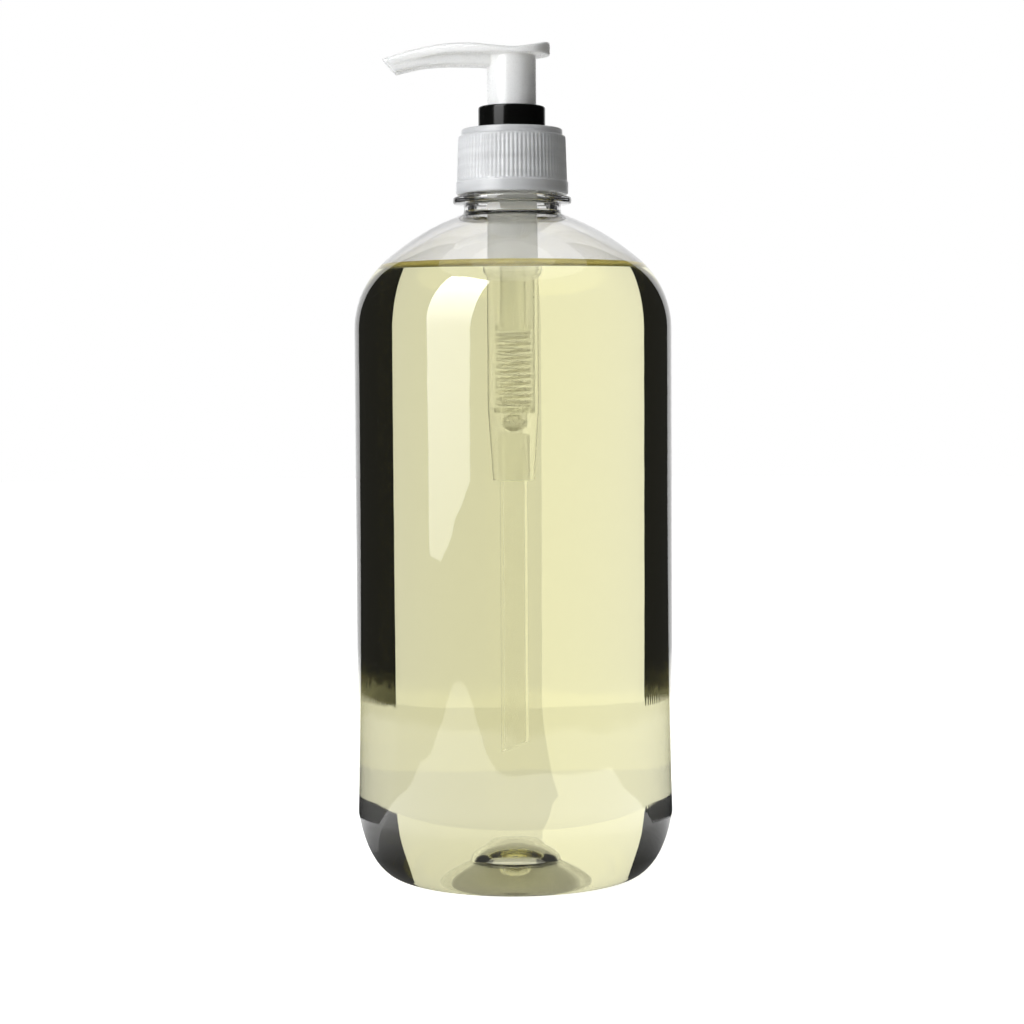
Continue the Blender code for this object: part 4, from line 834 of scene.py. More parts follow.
def build_housing(pump, bottle, actuator, colours):
    """The stepped housing, in two finishes: dry above the gel's level and wet below it."""
    top = GASKET[1].z + pump.gap
    flange_top = top + pump.flange_thickness
    flange_radius = GASKET[1].x
    upper_foot = top - pump.upper_length
    piston_foot = upper_foot - pump.step - pump.piston_length
    middle_top = piston_foot - pump.step / 2
    middle_foot = middle_top - pump.middle_length
    spring_top = middle_foot - pump.step
    tail_top = spring_top - pump.spring_length
    tail_end = HOUSING[0].z
    mouth_bore = actuator.skirt_radius + pump.gap
    wall = pump.barrel_wall
    piston_bore = pump.piston_radius - wall
    middle_bore = pump.middle_radius - wall
    spring_bore = pump.spring_radius - wall
    socket = DIP_TUBE[1].x + pump.gap
    tube_stop = DIP_TUBE[1].z + pump.gap
    inlet_bore = 0.0017
    ball_bore = INLET_BALL[1].x + pump.gap
    ball_ceiling = RETAINER[0].z - pump.gap
    outside = [
        (mouth_bore, HOUSING[1].z, 0.0003), (pump.mouth_radius, HOUSING[1].z, 0.0003),
        (pump.mouth_radius, flange_top, 0.0003), (flange_radius, flange_top, 0.0003),
        (flange_radius, top, 0.0002), (pump.upper_radius, top, 0.0003),
        (pump.upper_radius, upper_foot, 0.0008), (pump.piston_radius, upper_foot - pump.step, 0.0006),
        (pump.piston_radius, piston_foot, 0.0006),
        (pump.middle_radius, middle_top, 0.0004), (pump.middle_radius, middle_foot, 0.0005),
        (pump.spring_radius, spring_top, 0.0005), (pump.spring_radius, tail_top, 0.002),
        (pump.tail_radius, tail_end, 0.0003)]
    inside = [
        (socket, tail_end, 0.0002), (socket, tube_stop, 0.0003), (inlet_bore, tube_stop, 0.0002),
        (inlet_bore, DIP_TUBE[1].z + 0.0013, 0.0002), (ball_bore, DIP_TUBE[1].z + 0.0023, 0.0005),
        (ball_bore, ball_ceiling, 0.0002), (spring_bore, ball_ceiling, 0.0002),
        (spring_bore, spring_top, 0.0005), (middle_bore, middle_foot, 0.0005),
        (middle_bore, piston_foot, 0.0004), (piston_bore, piston_foot + pump.step, 0.0005),
        (piston_bore, upper_foot - pump.step / 2, 0.0005), (mouth_bore, upper_foot + pump.step, 0.0005)]
    profile = densified(filleted(outside + inside, closed=True), 0.004)
    housing = lathe("pump_housing_moulded", profile, 96, closed=True)
    dry = moulded_plastic("moulded natural polypropylene of the pump", colours.housing, 0.50, clarity=0.5)
    # In gel the wall bends light only by the ratio of the two indices
    wet = moulded_plastic("moulded natural polypropylene wet with gel", linear("#FFFFFC"), 0.29,
                          clarity=0.95, ior=1.06)
    dress(housing, "pump_unit", "housing_pp", dry, wet, nodes=["pump_housing"])
    level = gel_level(bottle)
    for face in housing.data.polygons:
        face.material_index = 1 if face.center.z < level else 0
    return housing


def build_fittings(pump, colours):
    """The pump's small still pieces: gasket, ball retainer, valve ball and dip tube."""
    low, high = GASKET
    bore = pump.upper_radius + pump.gap
    gasket = lathe("gasket_foam", filleted([
        (bore, high.z, 0.0002), (high.x, high.z, 0.0002), (high.x, low.z, 0.0002), (bore, low.z, 0.0002)],
        closed=True), 64, closed=True)
    dress(gasket, "pump_unit", "gasket_foam", foamed_pe(linear("#E4E4E0")), nodes=["outer_gasket"])

    white = moulded_plastic("moulded white polypropylene of the retainer", linear("#F8F8F4"), 0.5,
                            clarity=0.85, ior=1.1)
    low, high = RETAINER
    retainer = lathe("retainer_disc", filleted([
        (0.0, high.z), (high.x, high.z, 0.0002), (high.x, low.z, 0.0002), (0.0, low.z)]), 48)
    slots = 3
    slot_place = (0.00175, 0.0, (low.z + high.z) / 2)
    slot_size = Matrix.Diagonal((0.0023, 0.0012, 0.004, 1.0))
    cutters = []
    for index in range(slots):
        name = f"retainer_slot_{index}"
        build = bmesh.new()
        place = Matrix.Rotation(2 * math.pi * index / slots, 4, "Z") @ Matrix.Translation(slot_place)
        bmesh.ops.create_cube(build, size=1.0, matrix=place @ slot_size)
        bmesh.ops.bevel(build, geom=build.edges[:], offset=0.0004, segments=3, affect="EDGES")
        cutters.append(new_object(name, mesh_from(name, build)))
    cut_away(retainer, cutters)
    dress(retainer, "pump_unit", "inner_pp", white, nodes=["ball_retainer"])

    polished = stainless_steel("polished stainless steel", colours.steel, 0.30)
    for name, box, body, node in (("inlet_valve_ball", INLET_BALL, "pump_unit", "inlet_ball"),
                                  ("outlet_valve_ball", OUTLET_BALL, "head", "outlet_ball")):
        dress(turned_ball(name, box), body, "ball_steel", polished, nodes=[node])

    low, high = DIP_TUBE
    inner = high.x - pump.tube_wall
    tube = lathe("dip_tube_extruded", densified(filleted([
        (inner, high.z, 0.0001), (high.x, high.z, 0.0001), (high.x, low.z), (inner, low.z)],
        closed=True), 0.008), 64, closed=True)
    build = bmesh.new()
    size = 6 * high.x
    place = (Matrix.Translation((-high.x, 0.0, low.z)) @ Matrix.Rotation(-pump.tube_cut, 4, "Y")
             @ Matrix.Translation((size / 3, 0.0, -size / 2)))
    bmesh.ops.create_cube(build, size=size, matrix=place)
    cut_away(tube, [new_object("tube_cutter", mesh_from("tube_cutter", build))])
    natural = moulded_plastic("extruded natural polyethylene", colours.tube, 0.25, clarity=0.97, ior=1.02)
    dress(tube, "pump_unit", "tube_pe", natural, nodes=["dip_tube"])


def turned_ball(name, box):
    """A ball that fills a node's box."""
    low, high = box
    radius = high.x
    centre = (low.z + high.z) / 2
    points = arc((0.0, centre), radius, math.pi / 2, -math.pi / 2, 24)
    points[0] = (0.0, points[0][1])
    points[-1] = (0.0, points[-1][1])
    return lathe(name, points, 48)


def cut_away(item, cutters):
    """Subtract cutters from a piece and remove them."""
    for cutter in cutters:
        boolean = item.modifiers.new(cutter.name, "BOOLEAN")
        boolean.operation = "DIFFERENCE"
        boolean.solver = "EXACT"
        boolean.object = cutter
    settle(item)
    for cutter in cutters:
        bpy.data.objects.remove(cutter)
    item.data.materials.clear()
    item.data.shade_smooth()
    item.data.set_sharp_from_angle(angle=SHARP_ANGLE)


def build_spring(pump, colours):
    """The return spring, wound to the length of its node; the real one shortens as the head is pressed."""
    low, high = SPRING
    spring = new_object("return_spring_wound", bpy.data.meshes.new("return_spring_wound"))
    material = stainless_steel("drawn stainless wire", colours.steel, 0.45)
    pitch = (high.z - low.z) / pump.coils
    apply_tree(spring, coil_tree(), {
        "Coils": float(pump.coils), "Radius": high.x - pump.wire_radius, "Wire Radius": pump.wire_radius,
        "Length": high.z - low.z, "Foot": low.z, "Closed Share": (2 * pump.wire_radius + 0.0001) / pitch,
        "Material": material})
    spring.data.materials.clear()
    dress(spring, "pump_unit", "spring_steel", material, nodes=["return_spring"])
    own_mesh(spring)


def build_piston(pump, colours):
    """The soft piston seal, the rod and the stem."""
    low, high = PISTON
    outer = high.x
    bore = STEM_RADIUS + pump.gap
    hub = bore + 0.0010
    lip = 0.0016
    lip_inner = outer - 0.0007
    waist = outer - 0.0006
    seal = lathe("piston_seal_soft", filleted([
        (bore, high.z, 0.0002), (hub, high.z, 0.0003), (hub, high.z - lip, 0.0003),
        (lip_inner, high.z, 0.0002), (outer, high.z, 0.0002), (waist, high.z - lip, 0.0005),
        (waist, low.z + lip, 0.0005), (outer, low.z, 0.0002), (lip_inner, low.z, 0.0002),
        (hub, low.z + lip, 0.0003), (hub, low.z, 0.0003), (bore, low.z, 0.0002)],
        closed=True), 96, closed=True)
    soft = moulded_plastic("moulded soft polyethylene", linear("#F4F5F5"), 0.5, clarity=0.85)
    dress(seal, "piston", "piston_pe", soft, nodes=["piston_seal"])

    low, high = ROD
    neck = 0.0020
    shaft = 0.0026
    foot = 0.0037
    foot_top = low.z + 0.0015
    flange_top = PISTON[0].z - pump.gap
    flange_foot = flange_top - 0.0014
    rod = lathe("piston_rod_moulded", filleted([
        (0.0, high.z), (neck, high.z, 0.0003), (neck, flange_top, 0.0002),
        (PISTON_FLANGE, flange_top, 0.0003), (PISTON_FLANGE, flange_foot, 0.0003),
        (shaft, flange_foot - 0.0020, 0.0008), (shaft, foot_top, 0.0003), (foot, foot_top, 0.0003),
        (foot, low.z, 0.0003), (0.0, low.z)]), 64)
    white = moulded_plastic("moulded white polypropylene of the rod", linear("#F8F8F4"), 0.5,
                            clarity=0.85, ior=1.1)
    dress(rod, "head", "inner_pp", white, nodes=["piston_rod"])

    low, high = STEM
    flange_foot = PISTON[1].z + pump.gap
    flange_top = flange_foot + 0.0010
    chamber = OUTLET_BALL[1].x + pump.gap
    duct = 0.0015
    duct_foot = ROD[1].z + pump.gap
    rod_socket = 0.0023
    stem = lathe("stem_moulded", filleted([
        (chamber, high.z, 0.0002), (STEM_RADIUS, high.z, 0.0003), (STEM_RADIUS, flange_top, 0.0003),
        (PISTON_FLANGE, flange_top, 0.0002), (PISTON_FLANGE, flange_foot, 0.0002),
        (STEM_RADIUS, flange_foot, 0.0002), (STEM_RADIUS, low.z, 0.0002), (rod_socket, low.z, 0.0002),
        (rod_socket, duct_foot, 0.0003), (duct, duct_foot, 0.0002),
        (duct, OUTLET_BALL[0].z - 0.0006, 0.0002), (chamber, OUTLET_BALL[0].z + 0.0001, 0.0003)],
        closed=True), 64, closed=True)
    natural = moulded_plastic("moulded natural polypropylene of the stem", colours.housing, 0.4, clarity=0.7)
    dress(stem, "head", "housing_pp", natural, nodes=["stem"])


# Actuator

HEAD_TOP_LINE = ((-0.0362, 0.0197), (-0.0288, 0.0219), (-0.0197, 0.0235), (-0.0116, 0.0237),
                 (-0.0038, 0.0228), (0.0008, 0.0225), (0.0054, 0.0230), (0.0109, 0.0244))
RIM_BOTTOM_LINE = ((-0.0362, 0.0168), (-0.0306, 0.0185), (-0.0186, 0.0208), (-0.0090, 0.0208),
                   (0.0109, 0.0206))
SPOUT_BOTTOM_LINE = ((-0.0362, 0.0144), (-0.0319, 0.0158), (-0.0254, 0.0173), (-0.0182, 0.0178),
                     (-0.0128, 0.0178), (-0.0040, 0.0175))
SPOUT_REACH = -ACTUATOR[0].x
TIP_OVERRUN = 0.0060


def smooth_line(points, x):
    """Height at x of a smooth line through points that are sorted by x, over the closure's top."""
    last = len(points) - 1
    index = 0
    while index < last - 1 and x > points[index + 1][0]:
        index += 1
    (x0, z0), (x1, z1) = points[index], points[index + 1]
    before = points[max(index - 1, 0)]
    after = points[min(index + 2, last)]
    slope_start = (z1 - before[1]) / (x1 - before[0])
    slope_end = (after[1] - z0) / (after[0] - x0)
    width = x1 - x0
    t = (x - x0) / width
    if t < 0.0:
        return CLOSURE_TOP + z0 + slope_start * (x - x0)
    if t > 1.0:
        return CLOSURE_TOP + z1 + slope_end * (x - x1)
    hermite = (2 * t ** 3 - 3 * t ** 2 + 1, t ** 3 - 2 * t ** 2 + t,
               -2 * t ** 3 + 3 * t ** 2, t ** 3 - t ** 2)
    return (CLOSURE_TOP + hermite[0] * z0 + hermite[1] * width * slope_start
            + hermite[2] * z1 + hermite[3] * width * slope_end)


def loft(name, sections):
    """Skin a row of like sections, each a closed ring of points, and cap both ends."""
    build = bmesh.new()
    rings = [[build.verts.new(point) for point in ring] for ring in sections]
    count = len(rings[0])
    for ring, following in zip(rings, rings[1:]):
        for index in range(count):
            after = (index + 1) % count
            build.faces.new((ring[index], ring[after], following[after], following[index]))
    build.faces.new(rings[0][::-1])
    build.faces.new(rings[-1])
    return new_object(name, mesh_from(name, build))


def mirrored_ring(x, half):
    """A full section ring at x from its right half, given as (y, z) from top middle to bottom middle."""
    right = [(x, y, z) for y, z in half]
    left = [(x, -y, z) for y, z in half[-2:0:-1]]
    return right + left


def plate_half_width(shape, x):
    """Half width of the finger plate: round behind the stem, easing down to the spout's tip."""
    if x > shape.back_centre:
        return math.sqrt(max(shape.back_radius ** 2 - (x - shape.back_centre) ** 2, 0.0))
    t = min((shape.back_centre - x) / (shape.back_centre + SPOUT_REACH), 1.0)
    ease = t * t * (3 - 2 * t)
    return shape.back_radius + (shape.tip_half_width - shape.back_radius) * ease


def finger_plate(shape):
    """The saddle-shaped finger plate, which runs on as the top of the spout."""
    stations = [shape.back_centre + shape.back_radius * math.sin(math.radians(turn))
                for turn in (88, 85, 81, 76, 70, 63, 55, 46, 36, 25, 13, 0)]
    tip = -SPOUT_REACH - TIP_OVERRUN
    count = 48
    stations += [shape.back_centre + (tip - shape.back_centre) * step / count for step in range(1, count + 1)]
    sections = []
    for x in stations:
        width = plate_half_width(shape, x)
        edge = min(shape.edge_round, width / 2)
        under = min(0.0004, width / 2)
        over = max(x - (shape.back_centre + shape.back_radius - shape.edge_round), 0.0)
        drop = shape.edge_round - math.sqrt(shape.edge_round ** 2 - over ** 2)
        top = smooth_line(HEAD_TOP_LINE, x) - drop
        bottom = smooth_line(RIM_BOTTOM_LINE, x)
        half = [(0.0, top + shape.crown), (width / 3, top + shape.crown * 0.9),
                (width * 0.6, top + shape.crown * 0.6)]
        half += arc((width - edge, top - edge), edge, math.pi / 2, 0.0, 6)
        half += [(width, bottom + under), (width - under, bottom), (0.0, bottom)]
        sections.append(mirrored_ring(x, half))
    return loft("actuator_plate", sections)


def spout_duct(shape):
    """The body of the spout under the plate."""
    tip = -SPOUT_REACH - TIP_OVERRUN
    corner = 0.0010
    count = 40
    sections = []
    for step in range(count + 1):
        x = tip * step / count
        t = min(-x / SPOUT_REACH, 1.0)
        width = shape.duct_root + (shape.duct_tip - shape.duct_root) * t
        top = (smooth_line(HEAD_TOP_LINE, x) + smooth_line(RIM_BOTTOM_LINE, x)) / 2
        bottom = smooth_line(SPOUT_BOTTOM_LINE, min(x, SPOUT_BOTTOM_LINE[-1][0]))
        half = [(0.0, top), (width, top)]
        half += arc((width - corner, bottom + corner), corner, 0.0, -math.pi / 2, 6)
        half += [(0.0, bottom)]
        sections.append(mirrored_ring(x, half))
    return loft("spout_duct", sections)


def bore_route():
    """Points along the duct's middle: up from the stem, around a bend and out past the tip."""
    def level(x):
        at = min(x, SPOUT_BOTTOM_LINE[-1][0])
        return (smooth_line(HEAD_TOP_LINE, at) + smooth_line(SPOUT_BOTTOM_LINE, at)) / 2

    bend = 0.0025
    route = [(0.0, 0.0, STEM[1].z)]
    for x, z in arc((-bend, level(0.0) - bend), bend, 0.0, math.pi / 2, 8):
        route.append((x, 0.0, z))
    end = -SPOUT_REACH - 2 * TIP_OVERRUN
    count = 30
    for step in range(1, count + 1):
        x = -bend + (end + bend) * step / count
        route.append((x, 0.0, level(x)))
    return route


def tube_along(name, points, radius):
    """A round rod along a list of points, as a mesh."""
    curve = bpy.data.curves.new(name, "CURVE")
    curve.dimensions = "3D"
    curve.twist_mode = "MINIMUM"
    curve.bevel_depth = radius
    curve.bevel_resolution = 6
    curve.use_fill_caps = True
    spline = curve.splines.new("POLY")
    spline.points.add(len(points) - 1)
    for index, point in enumerate(points):
        spline.points[index].co = (*point, 1.0)
    rod = new_object(name, curve)
    bpy.context.view_layer.update()
    mesh = bpy.data.meshes.new_from_object(rod.evaluated_get(bpy.context.evaluated_depsgraph_get()))
    bpy.data.objects.remove(rod)
    build = bmesh.new()
    build.from_mesh(mesh)
    return new_object(name, mesh_from(name, build))


def build_actuator(shape, pump, colours):
    """The head: plate, spout, skirt and socket fused in one moulding with soft inner corners."""
    socket = STEM_RADIUS + pump.gap
    socket_outer = socket + 0.0009
    skirt_bore = shape.skirt_radius - shape.skirt_wall
    skirt_end = ACTUATOR[0].z
    socket_end = skirt_end + 0.0028
    ceiling = STEM[1].z + pump.gap
    skirt_ceiling = ceiling + 0.0022
    under_plate = (smooth_line(HEAD_TOP_LINE, 0.0) + smooth_line(RIM_BOTTOM_LINE, 0.0)) / 2
    skirt = lathe("actuator_skirt", [
        (0.0, under_plate), (shape.skirt_radius, under_plate), (shape.skirt_radius, skirt_end),
        (skirt_bore, skirt_end), (skirt_bore, skirt_ceiling), (socket_outer, skirt_ceiling),
        (socket_outer, socket_end), (socket, socket_end), (socket, ceiling), (0.0, ceiling)], 96)
    plate = finger_plate(shape)
    duct = spout_duct(shape)
    bore = tube_along("duct_bore", bore_route(), shape.duct_radius)
    build = bmesh.new()
    size = 8 * TIP_OVERRUN
    cut = (Matrix.Translation((-SPOUT_REACH, 0.0, smooth_line(HEAD_TOP_LINE, -SPOUT_REACH)))
           @ Matrix.Rotation(shape.tip_cut, 4, "Y") @ Matrix.Translation((0.0, 0.0, -size / 2)))
    bmesh.ops.create_cube(build, size=size, matrix=cut)
    tip = new_object("tip_cut", mesh_from("tip_cut", build))
    others = ((duct, "UNION"), (skirt, "UNION"), (bore, "DIFFERENCE"), (tip, "DIFFERENCE"))
    for other, operation in others:
        boolean = plate.modifiers.new(other.name, "BOOLEAN")
        boolean.operation = operation
        boolean.solver = "EXACT"
        boolean.object = other
    remesh = plate.modifiers.new("Moulded surface", "REMESH")
    remesh.mode = "VOXEL"
    remesh.voxel_size = shape.voxel
    soften = plate.modifiers.new("Soft corners", "SMOOTH")
    soften.factor = 0.5
    soften.iterations = 5
    settle(plate)
    for other, _ in others:
        bpy.data.objects.remove(other)
    plate.data.materials.clear()
    plate.name = "actuator_moulded"
    plate.data.shade_smooth()
    material = moulded_plastic("moulded white polypropylene of the head", colours.actuator, 0.28,
                               translucency=0.6)
    return dress(plate, "head", "actuator_pp", material, nodes=["actuator"])


# Studio

RING_RADIUS = 0.355
BACKDROP_RADIUS = 0.37
ROOM_RADIUS = 1.6
FLOOR_SEAM = -0.001


def build_world(studio):
    """White where it is looked at, and a softer light on surfaces that fades towards the right."""
    world = bpy.data.worlds.new("Pale studio")
    world.use_nodes = True
    tree = world.node_tree
    tree.nodes.clear()
    direction = add_node(tree, "ShaderNodeTexCoord").outputs["Generated"]
    sides = add_node(tree, "ShaderNodeSeparateXYZ", {0: direction}).outputs
    share = add_node(tree, "ShaderNodeMapRange", {"Value": sides["X"], "From Min": -1.0, "From Max": 1.0})
    left = (*[value * studio.fill_left for value in linear("#FAFCFF")], 1.0)
    right = (*[value * studio.fill_right for value in linear("#FFF3E4")], 1.0)
    tone = add_node(tree, "ShaderNodeMix", {0: share, 6: left, 7: right}, data_type="RGBA")
    behind = add_node(tree, "ShaderNodeMapRange", {
        "Value": sides["Y"], "From Min": 0.3, "From Max": 0.9,
        "To Min": 1.0, "To Max": 1.0 + studio.fill_behind})
    soft = add_node(tree, "ShaderNodeBackground", {"Color": tone.outputs[2], "Strength": behind})
    path = add_node(tree, "ShaderNodeLightPath").outputs
    inner = add_node(tree, MATH, {0: path["Diffuse Depth"], 1: 1.0}, operation="MINIMUM")
    level = add_node(tree, MATH, {0: inner, 1: studio.inner_light, 2: 1.0}, operation="MULTIPLY_ADD")
    white = add_node(tree, "ShaderNodeBackground", {"Color": WHITE, "Strength": level})
    through = add_node(tree, MATH, {
        0: path["Is Glossy Ray"], 1: path["Is Transmission Ray"]}, operation="MAXIMUM")
    seen = add_node(tree, MATH, {0: through, 1: path["Is Camera Ray"]}, operation="MAXIMUM")
    both = add_node(tree, "ShaderNodeMixShader", {0: seen, 1: soft, 2: white})
    add_node(tree, "ShaderNodeOutputWorld", {"Surface": both})
    bpy.context.scene.world = world


def build_floor():
    """A wide white floor, lifted to white for the camera, with its own brightness in gloss and glass."""
    radius = 3.0
    clearance = 0.0001
    build = bmesh.new()
    bmesh.ops.create_circle(build, cap_ends=True, radius=radius, segments=96,
                            matrix=Matrix.Translation((0.0, 0.0, -clearance)))
    mesh = bpy.data.meshes.new("floor")
    build.to_mesh(mesh)
    build.free()
    floor = new_object("floor", mesh)
    material, tree = new_material("white matt floor")
    path = add_node(tree, "ShaderNodeLightPath").outputs
    place = add_node(tree, "ShaderNodeTexCoord").outputs["Object"]
    reach = add_node(tree, VECTOR_MATH, {0: place}, operation="LENGTH").outputs["Value"]
    # The camera's lift leaves the shadow at the bottle's foot
    lift = add_node(tree, "ShaderNodeMapRange", {
        "Value": reach, "From Min": 0.15, "From Max": 0.8, "To Min": 0.86, "To Max": 1.0})
    matt = add_node(tree, "ShaderNodeBsdfDiffuse", {"Color": (*linear("#F7F7F6"), 1.0)})
    lifted = add_node(tree, MATH, {0: path["Is Camera Ray"], 1: lift}, operation="MULTIPLY")
    glow = add_node(tree, "ShaderNodeEmission", {"Color": WHITE, "Strength": lifted})
    lit = add_node(tree, "ShaderNodeAddShader", {0: matt, 1: glow})
    # Painted shadow of the bottle, in gloss and glass: dark around the standing ring, lighter in its middle
    around = add_node(tree, "ShaderNodeMapRange", {
        "Value": reach, "From Min": 0.045, "From Max": 0.13, "To Min": 0.06, "To Max": 0.84})
    middle = add_node(tree, "ShaderNodeMapRange", {
        "Value": reach, "From Min": 0.027, "From Max": 0.036, "To Min": 0.62, "To Max": 0.06})
    under = add_node(tree, MATH, {0: around, 1: middle}, operation="MAXIMUM")
    # In gloss alone the floor within half a metre is about twice as bright
    far = add_node(tree, "ShaderNodeMapRange", {
        "Value": reach, "From Min": 0.45, "From Max": 0.6, "To Min": 1.1, "To Max": 0.15})
    not_glass = add_node(tree, MATH, {0: 1.0, 1: path["Is Transmission Ray"]}, operation="SUBTRACT")
    gloss_only = add_node(tree, MATH, {0: path["Is Glossy Ray"], 1: not_glass}, operation="MULTIPLY")
    gain = add_node(tree, MATH, {0: gloss_only, 1: far, 2: 1.0}, operation="MULTIPLY_ADD")
    strength = add_node(tree, MATH, {0: under, 1: gain}, operation="MULTIPLY")
    white = add_node(tree, "ShaderNodeEmission", {"Color": WHITE, "Strength": strength})
    through = add_node(tree, MATH, {
        0: path["Is Glossy Ray"], 1: path["Is Transmission Ray"]}, operation="MAXIMUM")
    both = add_node(tree, "ShaderNodeMixShader", {0: through, 1: lit, 2: white})
    add_node(tree, "ShaderNodeOutputMaterial", {"Surface": both})
    mesh.materials.append(material)


def card_material(name, strength):
    """An even card of the given brightness, which lets light on to the pieces inside the bottle."""
    material, tree = new_material(name)
    path = add_node(tree, "ShaderNodeLightPath").outputs
    glow = add_node(tree, "ShaderNodeEmission", {"Color": WHITE, "Strength": strength})
    clear = add_node(tree, "ShaderNodeBsdfTransparent")
    lighting = add_node(tree, MATH, {0: path["Diffuse Depth"], 1: 1.0}, operation="MINIMUM")
    both = add_node(tree, "ShaderNodeMixShader", {0: lighting, 1: glow, 2: clear})
    add_node(tree, "ShaderNodeOutputMaterial", {"Surface": both})
    return material


def card(name, rows, material, camera, gloss, glass):
    """A card from pairs of edge points, for gloss or for glass, that keeps its place to the camera."""
    build = bmesh.new()
    rows = [(build.verts.new(one), build.verts.new(other)) for one, other in rows]
    for (low, high), (next_low, next_high) in zip(rows, rows[1:]):
        build.faces.new((low, next_low, next_high, high))
    mesh = bpy.data.meshes.new(name)
    build.to_mesh(mesh)
    build.free()
    mesh.materials.append(material)
    item = new_object(name, mesh)
    item.visible_camera = False
    item.visible_diffuse = False
    item.visible_shadow = False
    item.visible_glossy = gloss
    item.visible_transmission = glass
    item.parent = camera
    item.matrix_parent_inverse = camera.matrix_world.inverted()


def ragged(step):
    """A fixed, uneven series between zero and one, for edges that the blown wall breaks up."""
    return abs(math.sin(step * 2.4) * math.cos(step * 0.73))


def bearing(radius, turn, height):
    """The point at a radius and a height, at an angle from straight behind the bottle to the right."""
    return radius * math.sin(turn), radius * math.cos(turn), height


def upright(radius, start, end, low, high, rag=0.0, steps=24):
    """Edge points of an upright curved card between two angles in degrees."""
    rows = []
    for step in range(steps + 1):
        turn = math.radians(start + (end - start) * step / steps)
        rows.append((bearing(radius, turn, low + rag * ragged(step)), bearing(radius, turn, high)))
    return rows


def table_end(studio):
    """Edge points of the dark room past the table's edge, which is farther off towards the softbox."""
    nearest, front_reach, softbox_reach, rag = 0.09, 0.16, 0.27, 0.012
    softbox_spread = 15
    lift = 0.0004
    start, sweep, steps = 32, 296, 600
    rows = []
    for step in range(steps + 1):
        turn = math.radians(start + sweep * step / steps)
        across = (math.degrees(turn - studio.softbox_turn * 0.83) - 180) / softbox_spread
        front = min(max((-math.cos(turn) + 0.1) / 0.5, 0.0), 1.0)
        near = nearest + front_reach * front + softbox_reach * math.exp(-across * across) + rag * ragged(step)
        rows.append((bearing(near, turn, lift), bearing(ROOM_RADIUS, turn, lift)))
    return rows


def level_sector(inner, outer, start, end, steps=24):
    """Edge points of a flat sector just over the floor."""
    lift = 0.0002
    rows = []
    for step in range(steps + 1):
        turn = math.radians(start + (end - start) * step / steps)
        rows.append((bearing(inner, turn, lift), bearing(outer, turn, lift)))
    return rows


def build_cards(studio, camera):
    """Cards around the bottle: they draw its dark edges and the calm of its front."""
    left, middle, right = -30.0, -3.4, 26.0
    ring_start, ring_end, ring_top = 22.4, 333.0, 1.2
    over_gel = LIQUID[1].z + 0.03
    # Refraction shows the backdrop between the ends of the dark ring, and the rest makes the dark edges
    black = card_material("dark surroundings", 0.014)
    ring = upright(RING_RADIUS, ring_start, ring_end, FLOOR_SEAM, ring_top, rag=0.006, steps=900)
    # The skirt is under the floor in the photograph's view, and over it when the cards tilt with the camera
    skirt = upright(RING_RADIUS + 0.0002, ring_start, ring_end, -0.03, FLOOR_SEAM)
    bright = card_material("bright backdrop", studio.bright_side)
    dim = card_material("dimmer backdrop", studio.dim_side)
    upper = card_material("upper backdrop", studio.upper_side)
    ceiling = card_material("dimmer over the backdrop", 0.5)
    floor_left = card_material("brighter floor", 0.48 * (1.0 + studio.bright_side))
    for name, rows, material in (
            ("card_ring", ring, black),
            ("card_ring_skirt", skirt, black),
            ("card_bright", upright(BACKDROP_RADIUS, left, middle, FLOOR_SEAM, over_gel), bright),
            ("card_dim", upright(BACKDROP_RADIUS, middle, right, FLOOR_SEAM, over_gel), dim),
            ("card_upper", upright(BACKDROP_RADIUS, left, right, over_gel, 0.30), upper),
            ("card_ceiling", upright(0.36, -27.0, ring_start, 0.25, ring_top), ceiling),
            ("card_floor_left", level_sector(0.05, BACKDROP_RADIUS, -90.0, middle), floor_left)):
        card(name, rows, material, camera, False, True)
    # Gloss shows a dark room behind the table's edge
    room = card_material("dark room", 0.03)
    card("card_room", upright(ROOM_RADIUS, 32, 328, 0.0, 2.6), room, camera, True, False)
    card("card_table_end", table_end(studio), card_material("dark table end", 0.03), camera, True, False)


def build_camera(studio):
    """The camera, at the photograph's distance, height, tilt and roll."""
    data = bpy.data.cameras.new("Camera")
    data.lens = studio.focal_length
    data.sensor_width = 36.0
    camera = bpy.data.objects.new("Camera", data)
    bpy.context.scene.collection.objects.link(camera)
    camera.matrix_world = (
        Matrix.Translation((-studio.side_step, -studio.distance, studio.eye_height))
        @ Matrix.Rotation(math.pi / 2 - studio.tilt, 4, "X") @ Matrix.Rotation(-studio.roll, 4, "Z"))
    bpy.context.view_layer.update()
    bpy.context.scene.camera = camera
    return camera


def build_softbox(studio):
    """The key light in front, to the left. A card stands for it in gloss."""
    turn = studio.softbox_turn
    distance = 0.85
    width = 0.50
    height = 1.35
    foot = 0.03
    lamp = bpy.data.lights.new("Softbox", "AREA")
    lamp.shape = "RECTANGLE"
    lamp.size = width
    lamp.size_y = height
    lamp.energy = studio.key_power
    lamp.color = linear("#FBFCFF")
    softbox = bpy.data.objects.new("Softbox", lamp)
    bpy.context.scene.collection.objects.link(softbox)
    place = Vector((-distance * math.sin(turn), -distance * math.cos(turn), height / 2 + foot))
    softbox.location = place
    softbox.rotation_euler = Vector((place.x, place.y, 0.0)).to_track_quat("Z", "Y").to_euler()
    softbox.visible_camera = False
    softbox.visible_glossy = False
    softbox.visible_transmission = False


